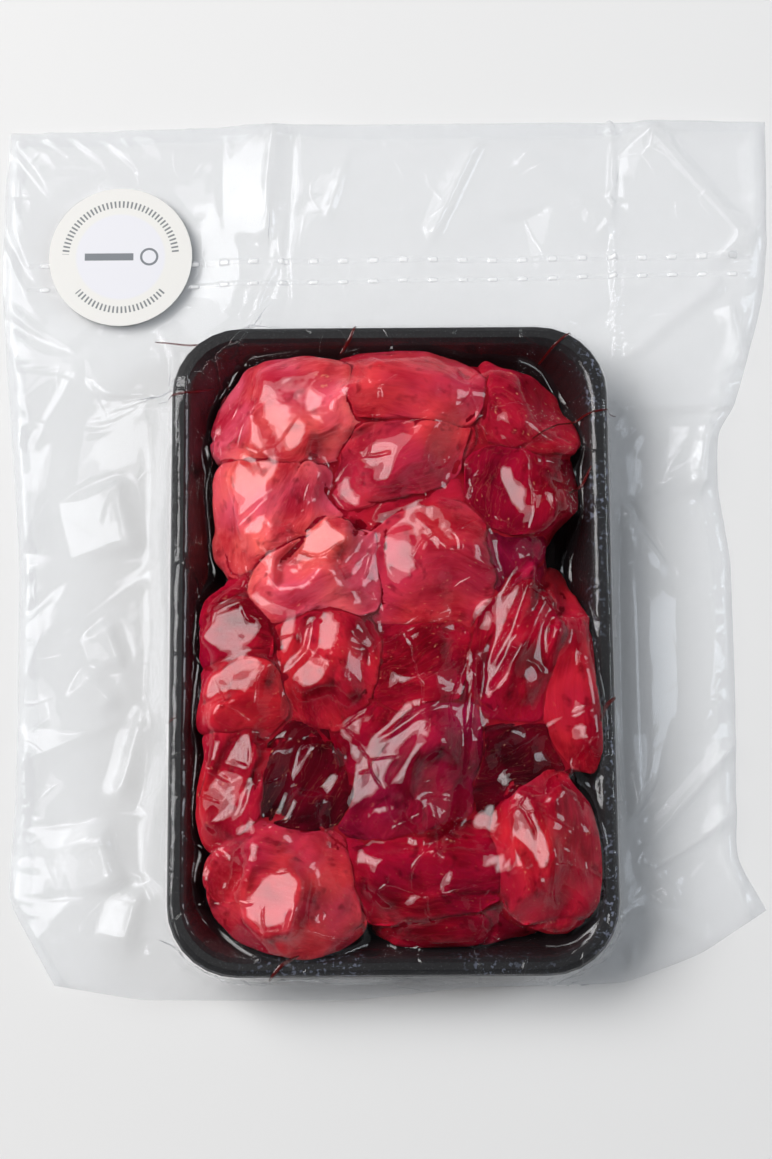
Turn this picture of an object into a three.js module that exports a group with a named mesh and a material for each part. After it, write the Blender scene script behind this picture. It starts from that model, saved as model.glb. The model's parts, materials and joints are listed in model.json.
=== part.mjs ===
// Stewing meat: a single layer of raw beef pieces on a black foam tray, vacuum packed in a clear bag.
// Millimetres, +Z up, the long side of the tray along Y. The pieces are placed from the middle of the tray,
// and the whole is shifted at the end so that its origin is the middle of its footprint on the table.
import * as THREE from 'three';
import { mergeVertices } from 'three/addons/utils/BufferGeometryUtils.js';

// Clear distance between two pieces that touch.
const GAP = 0.3;

// Tray: a moulded foam dish with a rolled rim. Each level is how far it lies in from the widest outline,
// its height and the radius of its corners, from the underside, over the rim, to the inner floor.
const TRAY_WIDTH = 146;
const TRAY_LENGTH = 215.7;
const TRAY_RIM_RADIUS = 23;
const TRAY_CORNER_STEPS = 7;
const TRAY_FLOOR = { inset: 17, z: 4, radius: 15 };
const TRAY_SHOULDER = { inset: 6.4, z: 24, radius: 18 };
const TRAY_LEVELS = [
  { inset: 20, z: 0, radius: 13 },
  { inset: 18, z: 1.2, radius: 14 },
  { inset: 6, z: 20.5, radius: 19 },
  { inset: 2, z: 19.6, radius: 22 },
  { inset: 0.4, z: 20.4, radius: TRAY_RIM_RADIUS },
  { inset: 0, z: 22.5, radius: TRAY_RIM_RADIUS },
  { inset: 0.6, z: 24.8, radius: TRAY_RIM_RADIUS },
  { inset: 2.2, z: 26, radius: 22 },
  { inset: 4.4, z: 26, radius: 20 },
  TRAY_SHOULDER,
  TRAY_FLOOR,
];

const LIGHT = 0xc24a45;
const RED = 0xa8222c;
const DARK = 0x6e1523;

// Meat: each piece by its middle, its half length and half width, its turn about Z in degrees, the heights
// of its underside and its crown, its tone, and the knife cuts that show on it. A cut faces azimuth and
// elevation in degrees, and leaves that share of the piece on its side. No underside means that the piece
// lies on the floor.
const PIECES = {
  top_left: {
    at: [-30, 75], half: [29.5, 18.5], turn: 8, crown: 36.5, tone: LIGHT,
    cuts: [[160, 45, 0.8]],
  },
  top_centre: { at: [5, 82], half: [28, 16], turn: -6, crown: 36.5, tone: LIGHT, cuts: [[80, 50, 0.85]] },
  top_right: { at: [41, 74.5], half: [21, 15], turn: -18, crown: 33, tone: DARK, cuts: [[50, 45, 0.68]] },
  left_slab: {
    at: [-34, 46], half: [24, 19], turn: 60, crown: 36.5, tone: LIGHT,
    cuts: [[175, 40, 0.8]],
  },
  strip: {
    at: [2, 60], half: [33, 11], turn: 16, base: 12, crown: 37, tone: RED,
    cuts: [[200, 50, 0.8]],
  },
  strip_low: { at: [7, 45], half: [24, 8], turn: 14, crown: 31, tone: RED, cuts: [[100, 60, 0.85]] },
  centre_left: {
    at: [-26, 21], half: [24, 15], turn: 28, base: 9, crown: 38, tone: LIGHT,
    cuts: [[140, 50, 0.75]],
  },
  centre_left_low: {
    at: [-23, -7], half: [23, 16], turn: -65, crown: 36.5, tone: RED,
    cuts: [[190, 50, 0.75]],
  },
  centre: {
    at: [14, 26], half: [26, 20], turn: -8, crown: 36, tone: RED,
    cuts: [[120, 65, 0.85], [240, 60, 0.85]],
  },
  centre_small: {
    at: [10, -10], half: [18, 16], turn: 20, crown: 34.5, tone: DARK,
    cuts: [[150, 55, 0.75]],
  },
  right_top: { at: [44, 51], half: [19, 19], turn: 80, crown: 33.5, tone: DARK, cuts: [[60, 55, 0.8]] },
  right_purple: { at: [38, 26], half: [17, 12], turn: 95, crown: 32, tone: DARK, cuts: [[60, 60, 0.85]] },
  right_strip: {
    at: [42, -3], half: [33, 12], turn: 74, base: 10, crown: 37.5, tone: RED,
    cuts: [[160, 42, 0.68]],
  },
  right_edge: { at: [57, -8], half: [42, 11], turn: 95, crown: 32, tone: RED, cuts: [[10, 45, 0.85]] },
  right_dark: { at: [40, -38], half: [17, 15], turn: 0, crown: 32.5, tone: DARK, cuts: [[120, 60, 0.8]] },
  left_mid: { at: [-47, 5], half: [13, 13], turn: 10, crown: 33.5, tone: DARK, cuts: [[170, 50, 0.8]] },
  left_mid_low: {
    at: [-47, -18], half: [14, 13], turn: 0, crown: 34.5, tone: RED,
    cuts: [[165, 50, 0.8]],
  },
  left_low: { at: [-49, -46], half: [20, 12], turn: 80, crown: 34.5, tone: RED, cuts: [[185, 45, 0.78]] },
  left_low_dark: {
    at: [-29, -45], half: [20, 16], turn: 62, crown: 34, tone: DARK,
    cuts: [[40, 60, 0.8]],
  },
  mid_dark: { at: [-5, -31], half: [16, 12], turn: 45, crown: 31, tone: DARK, cuts: [[90, 60, 0.85]] },
  long_strip: {
    at: [9, -43], half: [41, 14], turn: 53, base: 11, crown: 39, tone: RED,
    cuts: [[146, 40, 0.6], [330, 50, 0.8]],
  },
  bottom_centre: {
    at: [9, -74], half: [29, 19], turn: -8, crown: 35, tone: DARK,
    cuts: [[100, 60, 0.85]],
  },
  bottom_strip: { at: [20, -91], half: [32, 9], turn: 0, crown: 27, tone: DARK, cuts: [[280, 50, 0.85]] },
  bottom_left: {
    at: [-35, -79], half: [30, 20], turn: -12, crown: 36.5, tone: LIGHT,
    cuts: [[200, 40, 0.72], [50, 55, 0.85]],
  },
  bottom_right: {
    at: [50, -70], half: [30, 18], turn: 98, crown: 36.5, tone: RED,
    cuts: [[165, 45, 0.75], [20, 50, 0.85]],
  },
};
const PIECE_SPREAD = 1.27;
const PIECE_DETAIL = 3;
const PIECE_BOXINESS = 3.6;
const PIECE_LUMPS = 5;
const PIECE_LUMP_HEIGHT = 0.035;
const PIECE_EXTRA_CUTS = 3;
const EDGE_SHARPNESS = 18;
const WALL_DIRECTIONS = 16;

// Bag: two welded sheets that leave the rim of the tray all round and come down to the table. The outline
// is that of the sealed edge, anticlockwise from its top right corner.
const BAG_THICKNESS = 1;
const BAG_START_Z = 22.3;
const BAG_REST_Z = 2.2;
const BAG_EDGE_Z = 0.9;
const BAG_FALL = 13;
const BAG_FALL_RIGHT = 26;
const BAG_EDGE_RISE = 24;
const BAG_OUTLINE = [
  [134, 189.5], [93, 189.5], [22, 189], [-31, 189.5], [-84, 187.5], [-133, 186],
  [-134.5, 162], [-134.5, 125], [-130, 71], [-126.5, 33], [-126, -15], [-126, -49], [-128, -82],
  [-112, -110], [-83, -115], [-14, -115.5], [25, -111.5], [76, -110.5],
  [101, -101.5], [124, -87], [114.5, -70], [116, -17], [116, 31], [112.5, 56], [113, 77],
  [119, 84], [122, 95], [128.5, 116], [131, 127], [132.5, 142],
];
const BAG_STEPS_AROUND = 116;
const BAG_RINGS = [0, 0.07, 0.16, 0.28, 0.41, 0.55, 0.7, 0.85, 1];
const BAG_WAVES = { height: 0.9, length: 46 };
const BAG_FOLD_AT_EDGE = 0.35;

// The folds that the vacuum draws in the loose edges of the bag, as ridges from one point to another.
const BAG_FOLDS = [
  { from: [-82, 34], to: [-122, 38], width: 8, height: 4.5 },
  { from: [-82, 34], to: [-108, 62], width: 9, height: 5 },
  { from: [-88, 22], to: [-104, -12], width: 9, height: 5.5 },
  { from: [-98, 4], to: [-124, -6], width: 10, height: 3.5 },
  { from: [-110, -60], to: [-86, -76], width: 9, height: 5 },
  { from: [-107, -90], to: [-78, -82], width: 8, height: 4 },
  { from: [-84, 112], to: [-118, 92], width: 10, height: 4 },
  { from: [80, 83], to: [116, 84], width: 9, height: 4 },
  { from: [84, 50], to: [100, -4], width: 10, height: 6 },
  { from: [100, -4], to: [84, -58], width: 10, height: 6 },
  { from: [84, -62], to: [112, -42], width: 8, height: 4 },
  { from: [84, -64], to: [112, -66], width: 8, height: 4 },
  { from: [80, -84], to: [104, -96], width: 9, height: 4 },
  { from: [48, 176], to: [76, 150], width: 10, height: 4 },
  { from: [90, 184], to: [122, 146], width: 11, height: 5 },
  { from: [31, 180], to: [15, 148], width: 10, height: 3.5 },
  { from: [-43, 186], to: [-45, 148], width: 11, height: 4 },
  { from: [84, 104], to: [112, 128], width: 9, height: 4 },
];

// Label: a round paper sticker on the upper left corner of the bag, which lies flat there.
const LABEL = { at: [-93.5, 140], radius: 25, thickness: 0.4, sides: 48, bagZ: 2.6, flat: 9, blend: 12 };

const TRAY_FINISH = new THREE.MeshStandardMaterial({ color: 0x17181a, roughness: 0.7, metalness: 0 });
const BAG_FINISH = new THREE.MeshStandardMaterial({ color: 0xe6eaec, roughness: 0.15, metalness: 0 });
const LABEL_FINISH = new THREE.MeshStandardMaterial({ color: 0xf4f2ee, roughness: 0.5, metalness: 0 });

function seededRandom(seed) {
  let state = seed;
  return () => {
    state = (state * 1664525 + 1013904223) % 4294967296;
    return state / 4294967296;
  };
}

function smoothStep(value) {
  const share = THREE.MathUtils.clamp(value, 0, 1);
  return share * share * (3 - 2 * share);
}

function closedGeometry(points, triangles) {
  const geometry = new THREE.BufferGeometry();
  const values = points.flatMap((point) => [point.x, point.y, point.z]);
  geometry.setAttribute('position', new THREE.Float32BufferAttribute(values, 3));
  geometry.setIndex(triangles.flat());
  return geometry;
}

function addMesh(parent, name, geometry, material) {
  const mesh = new THREE.Mesh(geometry, material);
  mesh.name = name;
  parent.add(mesh);
}

// One ring of the tray: a rectangle with round corners, anticlockwise from above.
function trayRing({ inset, z, radius }) {
  const halfX = TRAY_WIDTH / 2 - inset - radius;
  const halfY = TRAY_LENGTH / 2 - inset - radius;
  const corners = [[1, 1], [-1, 1], [-1, -1], [1, -1]];
  return corners.flatMap(([signX, signY], quarter) => {
    const steps = Array.from({ length: TRAY_CORNER_STEPS + 1 }, (_, step) => step / TRAY_CORNER_STEPS);
    return steps.map((share) => {
      const angle = (quarter + share) * Math.PI / 2;
      const x = signX * halfX + radius * Math.cos(angle);
      const y = signY * halfY + radius * Math.sin(angle);
      return new THREE.Vector3(x, y, z);
    });
  });
}

// A closed body through rings of equally many points, with a flat fan at its first and last ring.
function loft(rings) {
  const count = rings[0].length;
  const points = rings.flat();
  const triangles = [];
  for (let level = 0; level < rings.length - 1; level += 1) {
    for (let index = 0; index < count; index += 1) {
      const a = level * count + index;
      const b = level * count + (index + 1) % count;
      triangles.push([a, b, b + count], [a, b + count, a + count]);
    }
  }
  const first = points.length;
  points.push(new THREE.Vector3(0, 0, rings[0][0].z));
  points.push(new THREE.Vector3(0, 0, rings.at(-1)[0].z));
  const lastRing = (rings.length - 1) * count;
  for (let index = 0; index < count; index += 1) {
    const next = (index + 1) % count;
    triangles.push([first, next, index], [first + 1, lastRing + index, lastRing + next]);
  }
  return closedGeometry(points, triangles);
}

// How far the inside of the tray reaches from its middle at one level, towards an angle.
function trayReach({ inset, radius }, angle) {
  const alongX = (TRAY_WIDTH / 2 - inset - radius) * Math.abs(Math.cos(angle));
  const alongY = (TRAY_LENGTH / 2 - inset - radius) * Math.abs(Math.sin(angle));
  return alongX + alongY + radius;
}

// The inner floor and the sloping inner walls, as planes that face out of the hollow.
function trayPlanes() {
  const planes = [{ normal: new THREE.Vector3(0, 0, -1), offset: -TRAY_FLOOR.z - GAP }];
  for (let step = 0; step < WALL_DIRECTIONS; step += 1) {
    const angle = step / WALL_DIRECTIONS * 2 * Math.PI;
    const low = trayReach(TRAY_FLOOR, angle);
    const slope = (trayReach(TRAY_SHOULDER, angle) - low) / (TRAY_SHOULDER.z - TRAY_FLOOR.z);
    const normal = new THREE.Vector3(Math.cos(angle), Math.sin(angle), -slope);
    const scale = 1 / normal.length();
    planes.push({ normal: normal.multiplyScalar(scale), offset: (low - slope * TRAY_FLOOR.z) * scale - GAP });
  }
  return planes;
}

function pieceBody(piece) {
  const base = piece.base ?? TRAY_FLOOR.z + GAP;
  const [length, width] = piece.half.map((half) => half * PIECE_SPREAD);
  const half = new THREE.Vector3(length, width, (piece.crown - base) / 2);
  const centre = new THREE.Vector3(piece.at[0], piece.at[1], (piece.crown + base) / 2);
  return { centre, half, turn: THREE.MathUtils.degToRad(piece.turn) };
}

function toOwnAxes(body, vector) {
  return vector.clone().applyAxisAngle(new THREE.Vector3(0, 0, 1), -body.turn);
}

function ellipsoidGradient(body, vector) {
  const own = toOwnAxes(body, vector);
  const squares = body.half.clone().multiply(body.half);
  return own.divide(squares).applyAxisAngle(new THREE.Vector3(0, 0, 1), body.turn);
}

// The plane where two pieces press against each other, facing from the first to the second.
function contactPlane(first, second) {
  const between = second.centre.clone().sub(first.centre);
  const fromFirst = ellipsoidGradient(first, between);
  const fromSecond = ellipsoidGradient(second, between);
  const reachFirst = 1 / Math.sqrt(fromFirst.dot(between));
  const reachSecond = 1 / Math.sqrt(fromSecond.dot(between));
  const share = reachFirst / (reachFirst + reachSecond);
  const point = first.centre.clone().addScaledVector(between, share);
  const normal = fromFirst.normalize().add(fromSecond.normalize()).normalize();
  return { normal, offset: normal.dot(point) - GAP / 2 };
}

// How far the uncut skin of a piece is from its middle: a rounded block with a few seeded lumps.
function skinRadius(body, lumps, direction) {
  const own = toOwnAxes(body, direction);
  const sum = ['x', 'y', 'z'].reduce((total, axis) => (
    total + Math.abs(own[axis] / body.half[axis]) ** PIECE_BOXINESS), 0);
  const swell = lumps.reduce((total, lump) => (
    total + PIECE_LUMP_HEIGHT * Math.sin(lump.wave.dot(direction) + lump.phase)), 1);
  return swell * sum ** (-1 / PIECE_BOXINESS);
}

function seededLumps(random) {
  return Array.from({ length: PIECE_LUMPS }, () => ({
    wave: new THREE.Vector3(random() - 0.5, random() - 0.5, random() - 0.5).multiplyScalar(9),
    phase: random() * 2 * Math.PI,
  }));
}

function knifePlanes(piece, body, lumps, random) {
  const extra = Array.from({ length: PIECE_EXTRA_CUTS }, () => (
    [random() * 360, 25 + 45 * random(), 0.84 + 0.1 * random()]));
  return [...piece.cuts, ...extra].map(([azimuth, elevation, share]) => {
    const polar = THREE.MathUtils.degToRad(90 - elevation);
    const around = THREE.MathUtils.degToRad(azimuth);
    const flat = Math.sin(polar);
    const normal = new THREE.Vector3(flat * Math.cos(around), flat * Math.sin(around), Math.cos(polar));
    const depth = share * skinRadius(body, lumps, normal);
    return { normal, offset: normal.dot(body.centre) + depth };
  });
}

// A piece of meat: its skin, its neighbours, the tray and the knife all limit how far it reaches, and the
// nearest limits blend into each other with round edges.
function meatGeometry(piece, body, planes, seed) {
  const random = seededRandom(seed);
  const lumps = seededLumps(random);
  const limits = [...planes, ...knifePlanes(piece, body, lumps, random)];
  const geometry = new THREE.IcosahedronGeometry(1, PIECE_DETAIL);
  geometry.deleteAttribute('normal');
  geometry.deleteAttribute('uv');
  const merged = mergeVertices(geometry);
  const position = merged.getAttribute('position');
  const point = new THREE.Vector3();
  for (let index = 0; index < position.count; index += 1) {
    point.fromBufferAttribute(position, index).multiply(body.half);
    const direction = point.applyAxisAngle(new THREE.Vector3(0, 0, 1), body.turn).normalize();
    let sum = skinRadius(body, lumps, direction) ** -EDGE_SHARPNESS;
    limits.forEach(({ normal, offset }) => {
      const reach = offset - normal.dot(body.centre);
      const facing = Math.max(normal.dot(direction), 0);
      sum += (facing / reach) ** EDGE_SHARPNESS;
    });
    direction.multiplyScalar(sum ** (-1 / EDGE_SHARPNESS)).add(body.centre);
    position.setXYZ(index, direction.x, direction.y, direction.z);
  }
  return merged;
}

function addMeat(parent) {
  const names = Object.keys(PIECES);
  const bodies = names.map((name) => pieceBody(PIECES[name]));
  const walls = trayPlanes();
  names.forEach((name, index) => {
    const contacts = bodies.filter((other) => other !== bodies[index])
      .map((other) => contactPlane(bodies[index], other));
    const geometry = meatGeometry(PIECES[name], bodies[index], [...walls, ...contacts], index + 1);
    const color = PIECES[name].tone;
    const finish = new THREE.MeshStandardMaterial({ color, roughness: 0.35, metalness: 0 });
    addMesh(parent, `meat_${name}`, geometry, finish);
  });
}

// The outline of the sealed edge at equal steps of its length, with every corner kept.
function bagEdge() {
  const corners = BAG_OUTLINE.map(([x, y]) => new THREE.Vector2(x, y));
  const sides = corners.map((corner, index) => corner.distanceTo(corners[(index + 1) % corners.length]));
  const stepLength = sides.reduce((total, side) => total + side, 0) / BAG_STEPS_AROUND;
  return corners.flatMap((corner, index) => {
    const next = corners[(index + 1) % corners.length];
    const steps = Math.max(1, Math.round(sides[index] / stepLength));
    return Array.from({ length: steps }, (_, step) => corner.clone().lerp(next, step / steps));
  });
}

// The place beside the rim of the tray that is nearest to a point of the sealed edge.
function rimPoint(target) {
  const coreX = TRAY_WIDTH / 2 - TRAY_RIM_RADIUS;
  const coreY = TRAY_LENGTH / 2 - TRAY_RIM_RADIUS;
  const core = new THREE.Vector2(coreX, coreY);
  const nearest = target.clone().clamp(core.clone().negate(), core);
  const outward = target.clone().sub(nearest).normalize();
  return nearest.addScaledVector(outward, TRAY_RIM_RADIUS + GAP + BAG_THICKNESS / 2);
}

function foldHeight(x, y) {
  const point = new THREE.Vector2(x, y);
  return BAG_FOLDS.reduce((total, { from, to, width, height }) => {
    const start = new THREE.Vector2(...from);
    const along = new THREE.Vector2(...to).sub(start);
    const share = THREE.MathUtils.clamp(point.clone().sub(start).dot(along) / along.lengthSq(), 0, 1);
    const distance = point.distanceTo(start.addScaledVector(along, share));
    return total + height * Math.exp(-((distance / width) ** 2));
  }, 0);
}

// How far from the rim the film comes down to the table: close by, but further off on the right.
function bagFall(x) {
  const quarter = TRAY_WIDTH / 4;
  return THREE.MathUtils.lerp(BAG_FALL, BAG_FALL_RIGHT, smoothStep((x - quarter) / quarter));
}

// Height of the middle of the film at a place of the bag, from how far it is beyond the rim and how near
// it is to the sealed edge.
function bagHeight(x, y, beyondRim, flapWidth) {
  const fromRim = smoothStep(beyondRim / Math.min(bagFall(x), flapWidth));
  const toEdge = smoothStep((flapWidth - beyondRim) / BAG_EDGE_RISE);
  const low = BAG_EDGE_Z + (BAG_REST_Z - BAG_EDGE_Z) * toEdge;
  const turns = 2 * Math.PI / BAG_WAVES.length;
  const wave = BAG_WAVES.height * (1 + Math.sin(x * turns) * Math.cos(y * turns));
  const fold = foldHeight(x, y) * THREE.MathUtils.lerp(BAG_FOLD_AT_EDGE, 1, toEdge);
  return THREE.MathUtils.lerp(BAG_START_Z, low + wave + fold, fromRim);
}

// The heights round each ring, evened out with those of their neighbours.
function evenHeights(rings) {
  return rings.map((ring) => ring.map((point, index) => {
    const before = ring[(index + ring.length - 1) % ring.length];
    const after = ring[(index + 1) % ring.length];
    return new THREE.Vector3(point.x, point.y, (before.z + 2 * point.z + after.z) / 4);
  }));
}

function layFlatUnderLabel(point) {
  const fromLabel = Math.hypot(point.x - LABEL.at[0], point.y - LABEL.at[1]) - LABEL.radius;
  const free = smoothStep((fromLabel - LABEL.flat) / LABEL.blend);
  return new THREE.Vector3(point.x, point.y, THREE.MathUtils.lerp(LABEL.bagZ, point.z, free));
}

function bagMiddle(edge) {
  const rims = edge.map(rimPoint);
  const rings = BAG_RINGS.map((share) => edge.map((outer, index) => {
    const place = rims[index].clone().lerp(outer, share);
    const flapWidth = rims[index].distanceTo(outer);
    return new THREE.Vector3(place.x, place.y, bagHeight(place.x, place.y, share * flapWidth, flapWidth));
  }));
  return evenHeights(rings).map((ring) => ring.map(layFlatUnderLabel));
}

// Both faces of the bag: the same grid, half the thickness to either side of the film's middle.
function bagGeometry() {
  const edge = bagEdge();
  const count = edge.length;
  const middle = bagMiddle(edge);
  const sides = [1, -1].flatMap((sign) => middle.flatMap((ring, level) => ring.map((point, index) => {
    const around = ring[(index + 1) % count].clone().sub(ring[(index + count - 1) % count]);
    const further = middle[Math.min(level + 1, middle.length - 1)][index];
    const nearer = middle[Math.max(level - 1, 0)][index];
    const normal = further.clone().sub(nearer).cross(around).normalize();
    return point.clone().addScaledVector(normal, sign * BAG_THICKNESS / 2);
  })));
  return closedGeometry(sides, bagTriangles(count));
}

function bagTriangles(count) {
  const levels = BAG_RINGS.length;
  const under = levels * count;
  const triangles = [];
  for (let index = 0; index < count; index += 1) {
    const next = (index + 1) % count;
    for (let level = 0; level < levels - 1; level += 1) {
      const a = level * count + index;
      const b = level * count + next;
      const underA = under + a;
      const underB = under + b;
      triangles.push([a, a + count, b + count], [a, b + count, b]);
      triangles.push([underA, underB + count, underA + count], [underA, underB, underB + count]);
    }
    const lastA = under - count + index;
    const lastB = under - count + next;
    triangles.push([lastA, under + lastA, under + lastB], [lastA, under + lastB, lastB]);
    triangles.push([index, under + next, under + index], [index, next, under + next]);
  }
  return triangles;
}

function labelGeometry() {
  const geometry = new THREE.CylinderGeometry(LABEL.radius, LABEL.radius, LABEL.thickness, LABEL.sides);
  geometry.rotateX(Math.PI / 2);
  const z = LABEL.bagZ + BAG_THICKNESS / 2 + GAP + LABEL.thickness / 2;
  geometry.translate(LABEL.at[0], LABEL.at[1], z);
  return geometry;
}

const pack = new THREE.Group();
addMesh(pack, 'tray', loft(TRAY_LEVELS.map(trayRing)), TRAY_FINISH);
addMeat(pack);
addMesh(pack, 'bag', bagGeometry(), BAG_FINISH);
addMesh(pack, 'label', labelGeometry(), LABEL_FINISH);

const box = new THREE.Box3().setFromObject(pack);
const middle = box.getCenter(new THREE.Vector3());
pack.position.set(-middle.x, -middle.y, -box.min.z);

const stewingMeat = new THREE.Group();
stewingMeat.add(pack);

export default stewingMeat;
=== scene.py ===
"""Looks of a vacuum-packed tray of stewing meat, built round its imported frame.

Raw beef in uneven pieces lies on a black foam tray, and a clear film is pressed on it. The film is as long as
a tight surface over all that it lies on and a little more, so it wrinkles where it is loose.
Sizes are millimetres measured from the middle of the tray, and become metres in the frame's place.
"""
import json
import math

import bmesh
import bpy
import numpy as np
from mathutils import Matrix, Vector
from mathutils.bvhtree import BVHTree


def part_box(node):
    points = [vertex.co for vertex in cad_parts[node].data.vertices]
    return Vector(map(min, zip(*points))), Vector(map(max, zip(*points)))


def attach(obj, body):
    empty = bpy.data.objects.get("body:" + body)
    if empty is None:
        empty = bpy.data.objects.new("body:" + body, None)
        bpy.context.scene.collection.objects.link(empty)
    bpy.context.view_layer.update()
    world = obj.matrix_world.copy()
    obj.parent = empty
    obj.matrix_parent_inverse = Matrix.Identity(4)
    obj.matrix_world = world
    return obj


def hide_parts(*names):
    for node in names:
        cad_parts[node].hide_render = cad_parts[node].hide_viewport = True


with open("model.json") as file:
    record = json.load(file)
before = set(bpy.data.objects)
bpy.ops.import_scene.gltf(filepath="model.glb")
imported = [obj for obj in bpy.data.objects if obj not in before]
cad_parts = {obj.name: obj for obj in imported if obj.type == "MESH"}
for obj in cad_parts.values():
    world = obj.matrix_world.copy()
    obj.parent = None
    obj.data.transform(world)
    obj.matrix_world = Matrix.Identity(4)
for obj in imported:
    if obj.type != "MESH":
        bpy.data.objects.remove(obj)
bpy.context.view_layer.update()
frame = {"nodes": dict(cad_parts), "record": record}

MM = 0.001
tray_low, tray_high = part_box("tray")
TRAY_MIDDLE = np.array([(tray_low.x + tray_high.x) / 2, (tray_low.y + tray_high.y) / 2, 0.0])

# Photograph: its height in pixels, the focal length in pixels, how far the camera leans back from straight
# down, its small roll, and the point that it looks at from its distance.
PHOTO_HEIGHT = 1159
FOCAL_PIXELS = 2163.0
CAMERA_LEAN = math.radians(10.2)
CAMERA_ROLL = math.radians(-0.40)
CAMERA_TARGET = (-1.6, 20.9, 26.0)
CAMERA_DISTANCE = 712.3
SENSOR = 24.0

# Lights in metres: name, place, size, power and colour. All of them aim at the middle of the heap.
LIGHTS_AIM = (0.0, 0.0, 0.02)
LIGHTS = [
    ("key_rim", (-1.45, 0.62, 1.70), (2.1, 1.8), 33.0, (1.0, 0.985, 0.97)),
    ("key_core", (-1.43, 0.61, 1.68), (1.4, 1.15), 28.5, (1.0, 0.985, 0.97)),
    ("fill", (1.60, -0.15, 1.00), (3.0, 2.0), 5.0, (0.95, 0.98, 1.0)),
    ("cool_side", (0.95, 0.20, 0.90), (0.34, 0.46), 3.0, (0.88, 0.94, 1.0)),
]
ROOM_WALLS = (0.44, 0.45, 0.47)
ROOM_CEILING = (0.060, 0.062, 0.066)
FLOOR_COLOR = (0.84, 0.84, 0.84)
FLOOR_HALF = 3.0

# Tray: the outline of its rim, where the stain of juice on its floor ends across and along, the colours of
# the foam from dark to light, of its specks, of the stain and of the painted bluish reflections on its rim.
TRAY_HALF = (73.0, 107.85)
TRAY_CORNER = 23.0
STAIN_ENDS = (69.0, 104.0)
FOAM_COLORS = ((0.007, 0.007, 0.008), (0.016, 0.016, 0.018))
SPECK_COLOR = (0.085, 0.086, 0.095)
STAIN_COLOR = (0.012, 0.002, 0.003)
# Painted reflection: the bluish colour of the glints painted on the rim, as a cool light from the right would
# give.
RIM_GLINT_COLOR = (0.17, 0.19, 0.26)

# Ground: the step, low corner and counts of the grid on which heights are worked out, and a level above all.
GROUND_STEP = 0.8
GROUND_LOW = (-138.0, -120.0)
GROUND_COUNT = (346, 393)
ABOVE_ALL = 90.0

# Film: the four sides of the sealed edge, each from one corner to the next.
FILM_TOP = [(-133, 186), (-84, 187.5), (-31, 189.5), (22, 189), (93, 189.5), (134, 189.5)]
FILM_RIGHT = [
    (124, -87), (114.5, -70), (116, -17), (116, 31), (112.5, 56), (113, 77), (119, 84), (122, 95),
    (128.5, 116), (131, 127), (132.5, 142), (134, 189.5),
]
FILM_BOTTOM = [
    (-112, -110), (-83, -115), (-14, -115.5), (25, -111.5), (76, -110.5), (101, -101.5), (124, -87),
]
FILM_LEFT = [
    (-112, -110), (-128, -82), (-126, -49), (-126, -15), (-126.5, 33), (-130, 71), (-134.5, 125),
    (-134.5, 162), (-133, 186),
]

# Film: its cells across and along, their mean size, how far they drift from even places, the film's distance
# from what it lies on, and how often it is evened out on the tray after its fall.
FILM_CELLS = (288, 336)
FILM_CELL = 0.95
FILM_DRIFT = 5.0
FILM_CLEARANCE = 0.25
TABLE_CLEARANCE = 0.4
FILM_SMOOTHING = 3

# Film: the share of light that it mirrors straight on and how much that grows at grazing views, its colours
# on the flaps, on the tray and on the ribs, and how shiny and creased the flaps are beside the tight film.
FILM_SHINE = 0.033
GRAZING_SHINE = 0.5
FLAP_COLOR = (0.60, 0.62, 0.65)
TIGHT_COLOR = (0.97, 0.98, 1.0)
RIB_COLOR = (0.98, 0.98, 1.0)
SHINE_BESIDE = 0.9
CREASED_BESIDE = 0.2

# Film: the milky share of the flaps, the seams and the ribs.
HAZE_BESIDE = 0.16
HAZE_OF_SEAM = 0.05
HAZE_OF_RIB = 0.35

# Film: its fine unevenness in the material: scale and size of the bend of all of it, scale and height of the
# waves, and of the fine creases the scale, width as a share of a cell, height and the noise that shows them.
BEND_SCALE = 45.0
BEND_SIZE = 0.016
WAVE_SCALE = 75.0
WAVE_HEIGHT = 1.1
CREASE_SCALE = 56.0
CREASE_WIDTH = 0.05
CREASE_HEIGHT = 0.34
CREASE_SHOWN = (0.46, 0.54)

# Film: the width of the seams at its sides and top, the height and size of the lower film's waves, and the
# ribs of the sealed band above the tray: level, rise to the right, half width, their ends, height and teeth.
SIDE_SEAM = 8.0
UNDER_WAVES = (0.6, 24.0)
SEAL_RIBS = [(137.5, 0.004, 1.5), (130.0, 0.014, 1.2)]
SEAL_END = 126.0
SEAL_HEIGHT = 0.6
SEAL_PITCH = 10.4

# Dark streaks in the folds that cross the rim, partly juice and partly painted shadow of the folds: the
# places along each, and its width.
STREAKS = [
    ([(-16.5, 98.5), (-13.2, 103.0), (-11.0, 108.8)], 1.1),
    ([(-81, 109), (-69, 107), (-57, 107.2)], 0.7),
    ([(50.5, 96), (56, 101), (62, 106)], 0.8),
    ([(47, 66.5), (56, 73), (66, 77), (77, 79)], 0.7),
    ([(59, 49), (64, 53), (67, 59)], 0.9),
    ([(67.5, -27), (70, -21), (74, -18)], 1.3),
    ([(-40, -109), (-36, -104), (-30, -101)], 1.2),
    ([(-74.5, 84), (-67, 85), (-59.5, 88.5)], 0.8),
    ([(-73.5, -26), (-70, -24)], 0.6),
]
STREAK_STEP = 0.5
STREAK_SHARES = (-1, -0.6, 0, 0.6, 1)

# How strongly the film is pressed on the tray, and down to the table beside it.
PRESS_ON_TRAY = 0.05
PRESS_BESIDE = 0.045

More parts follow.
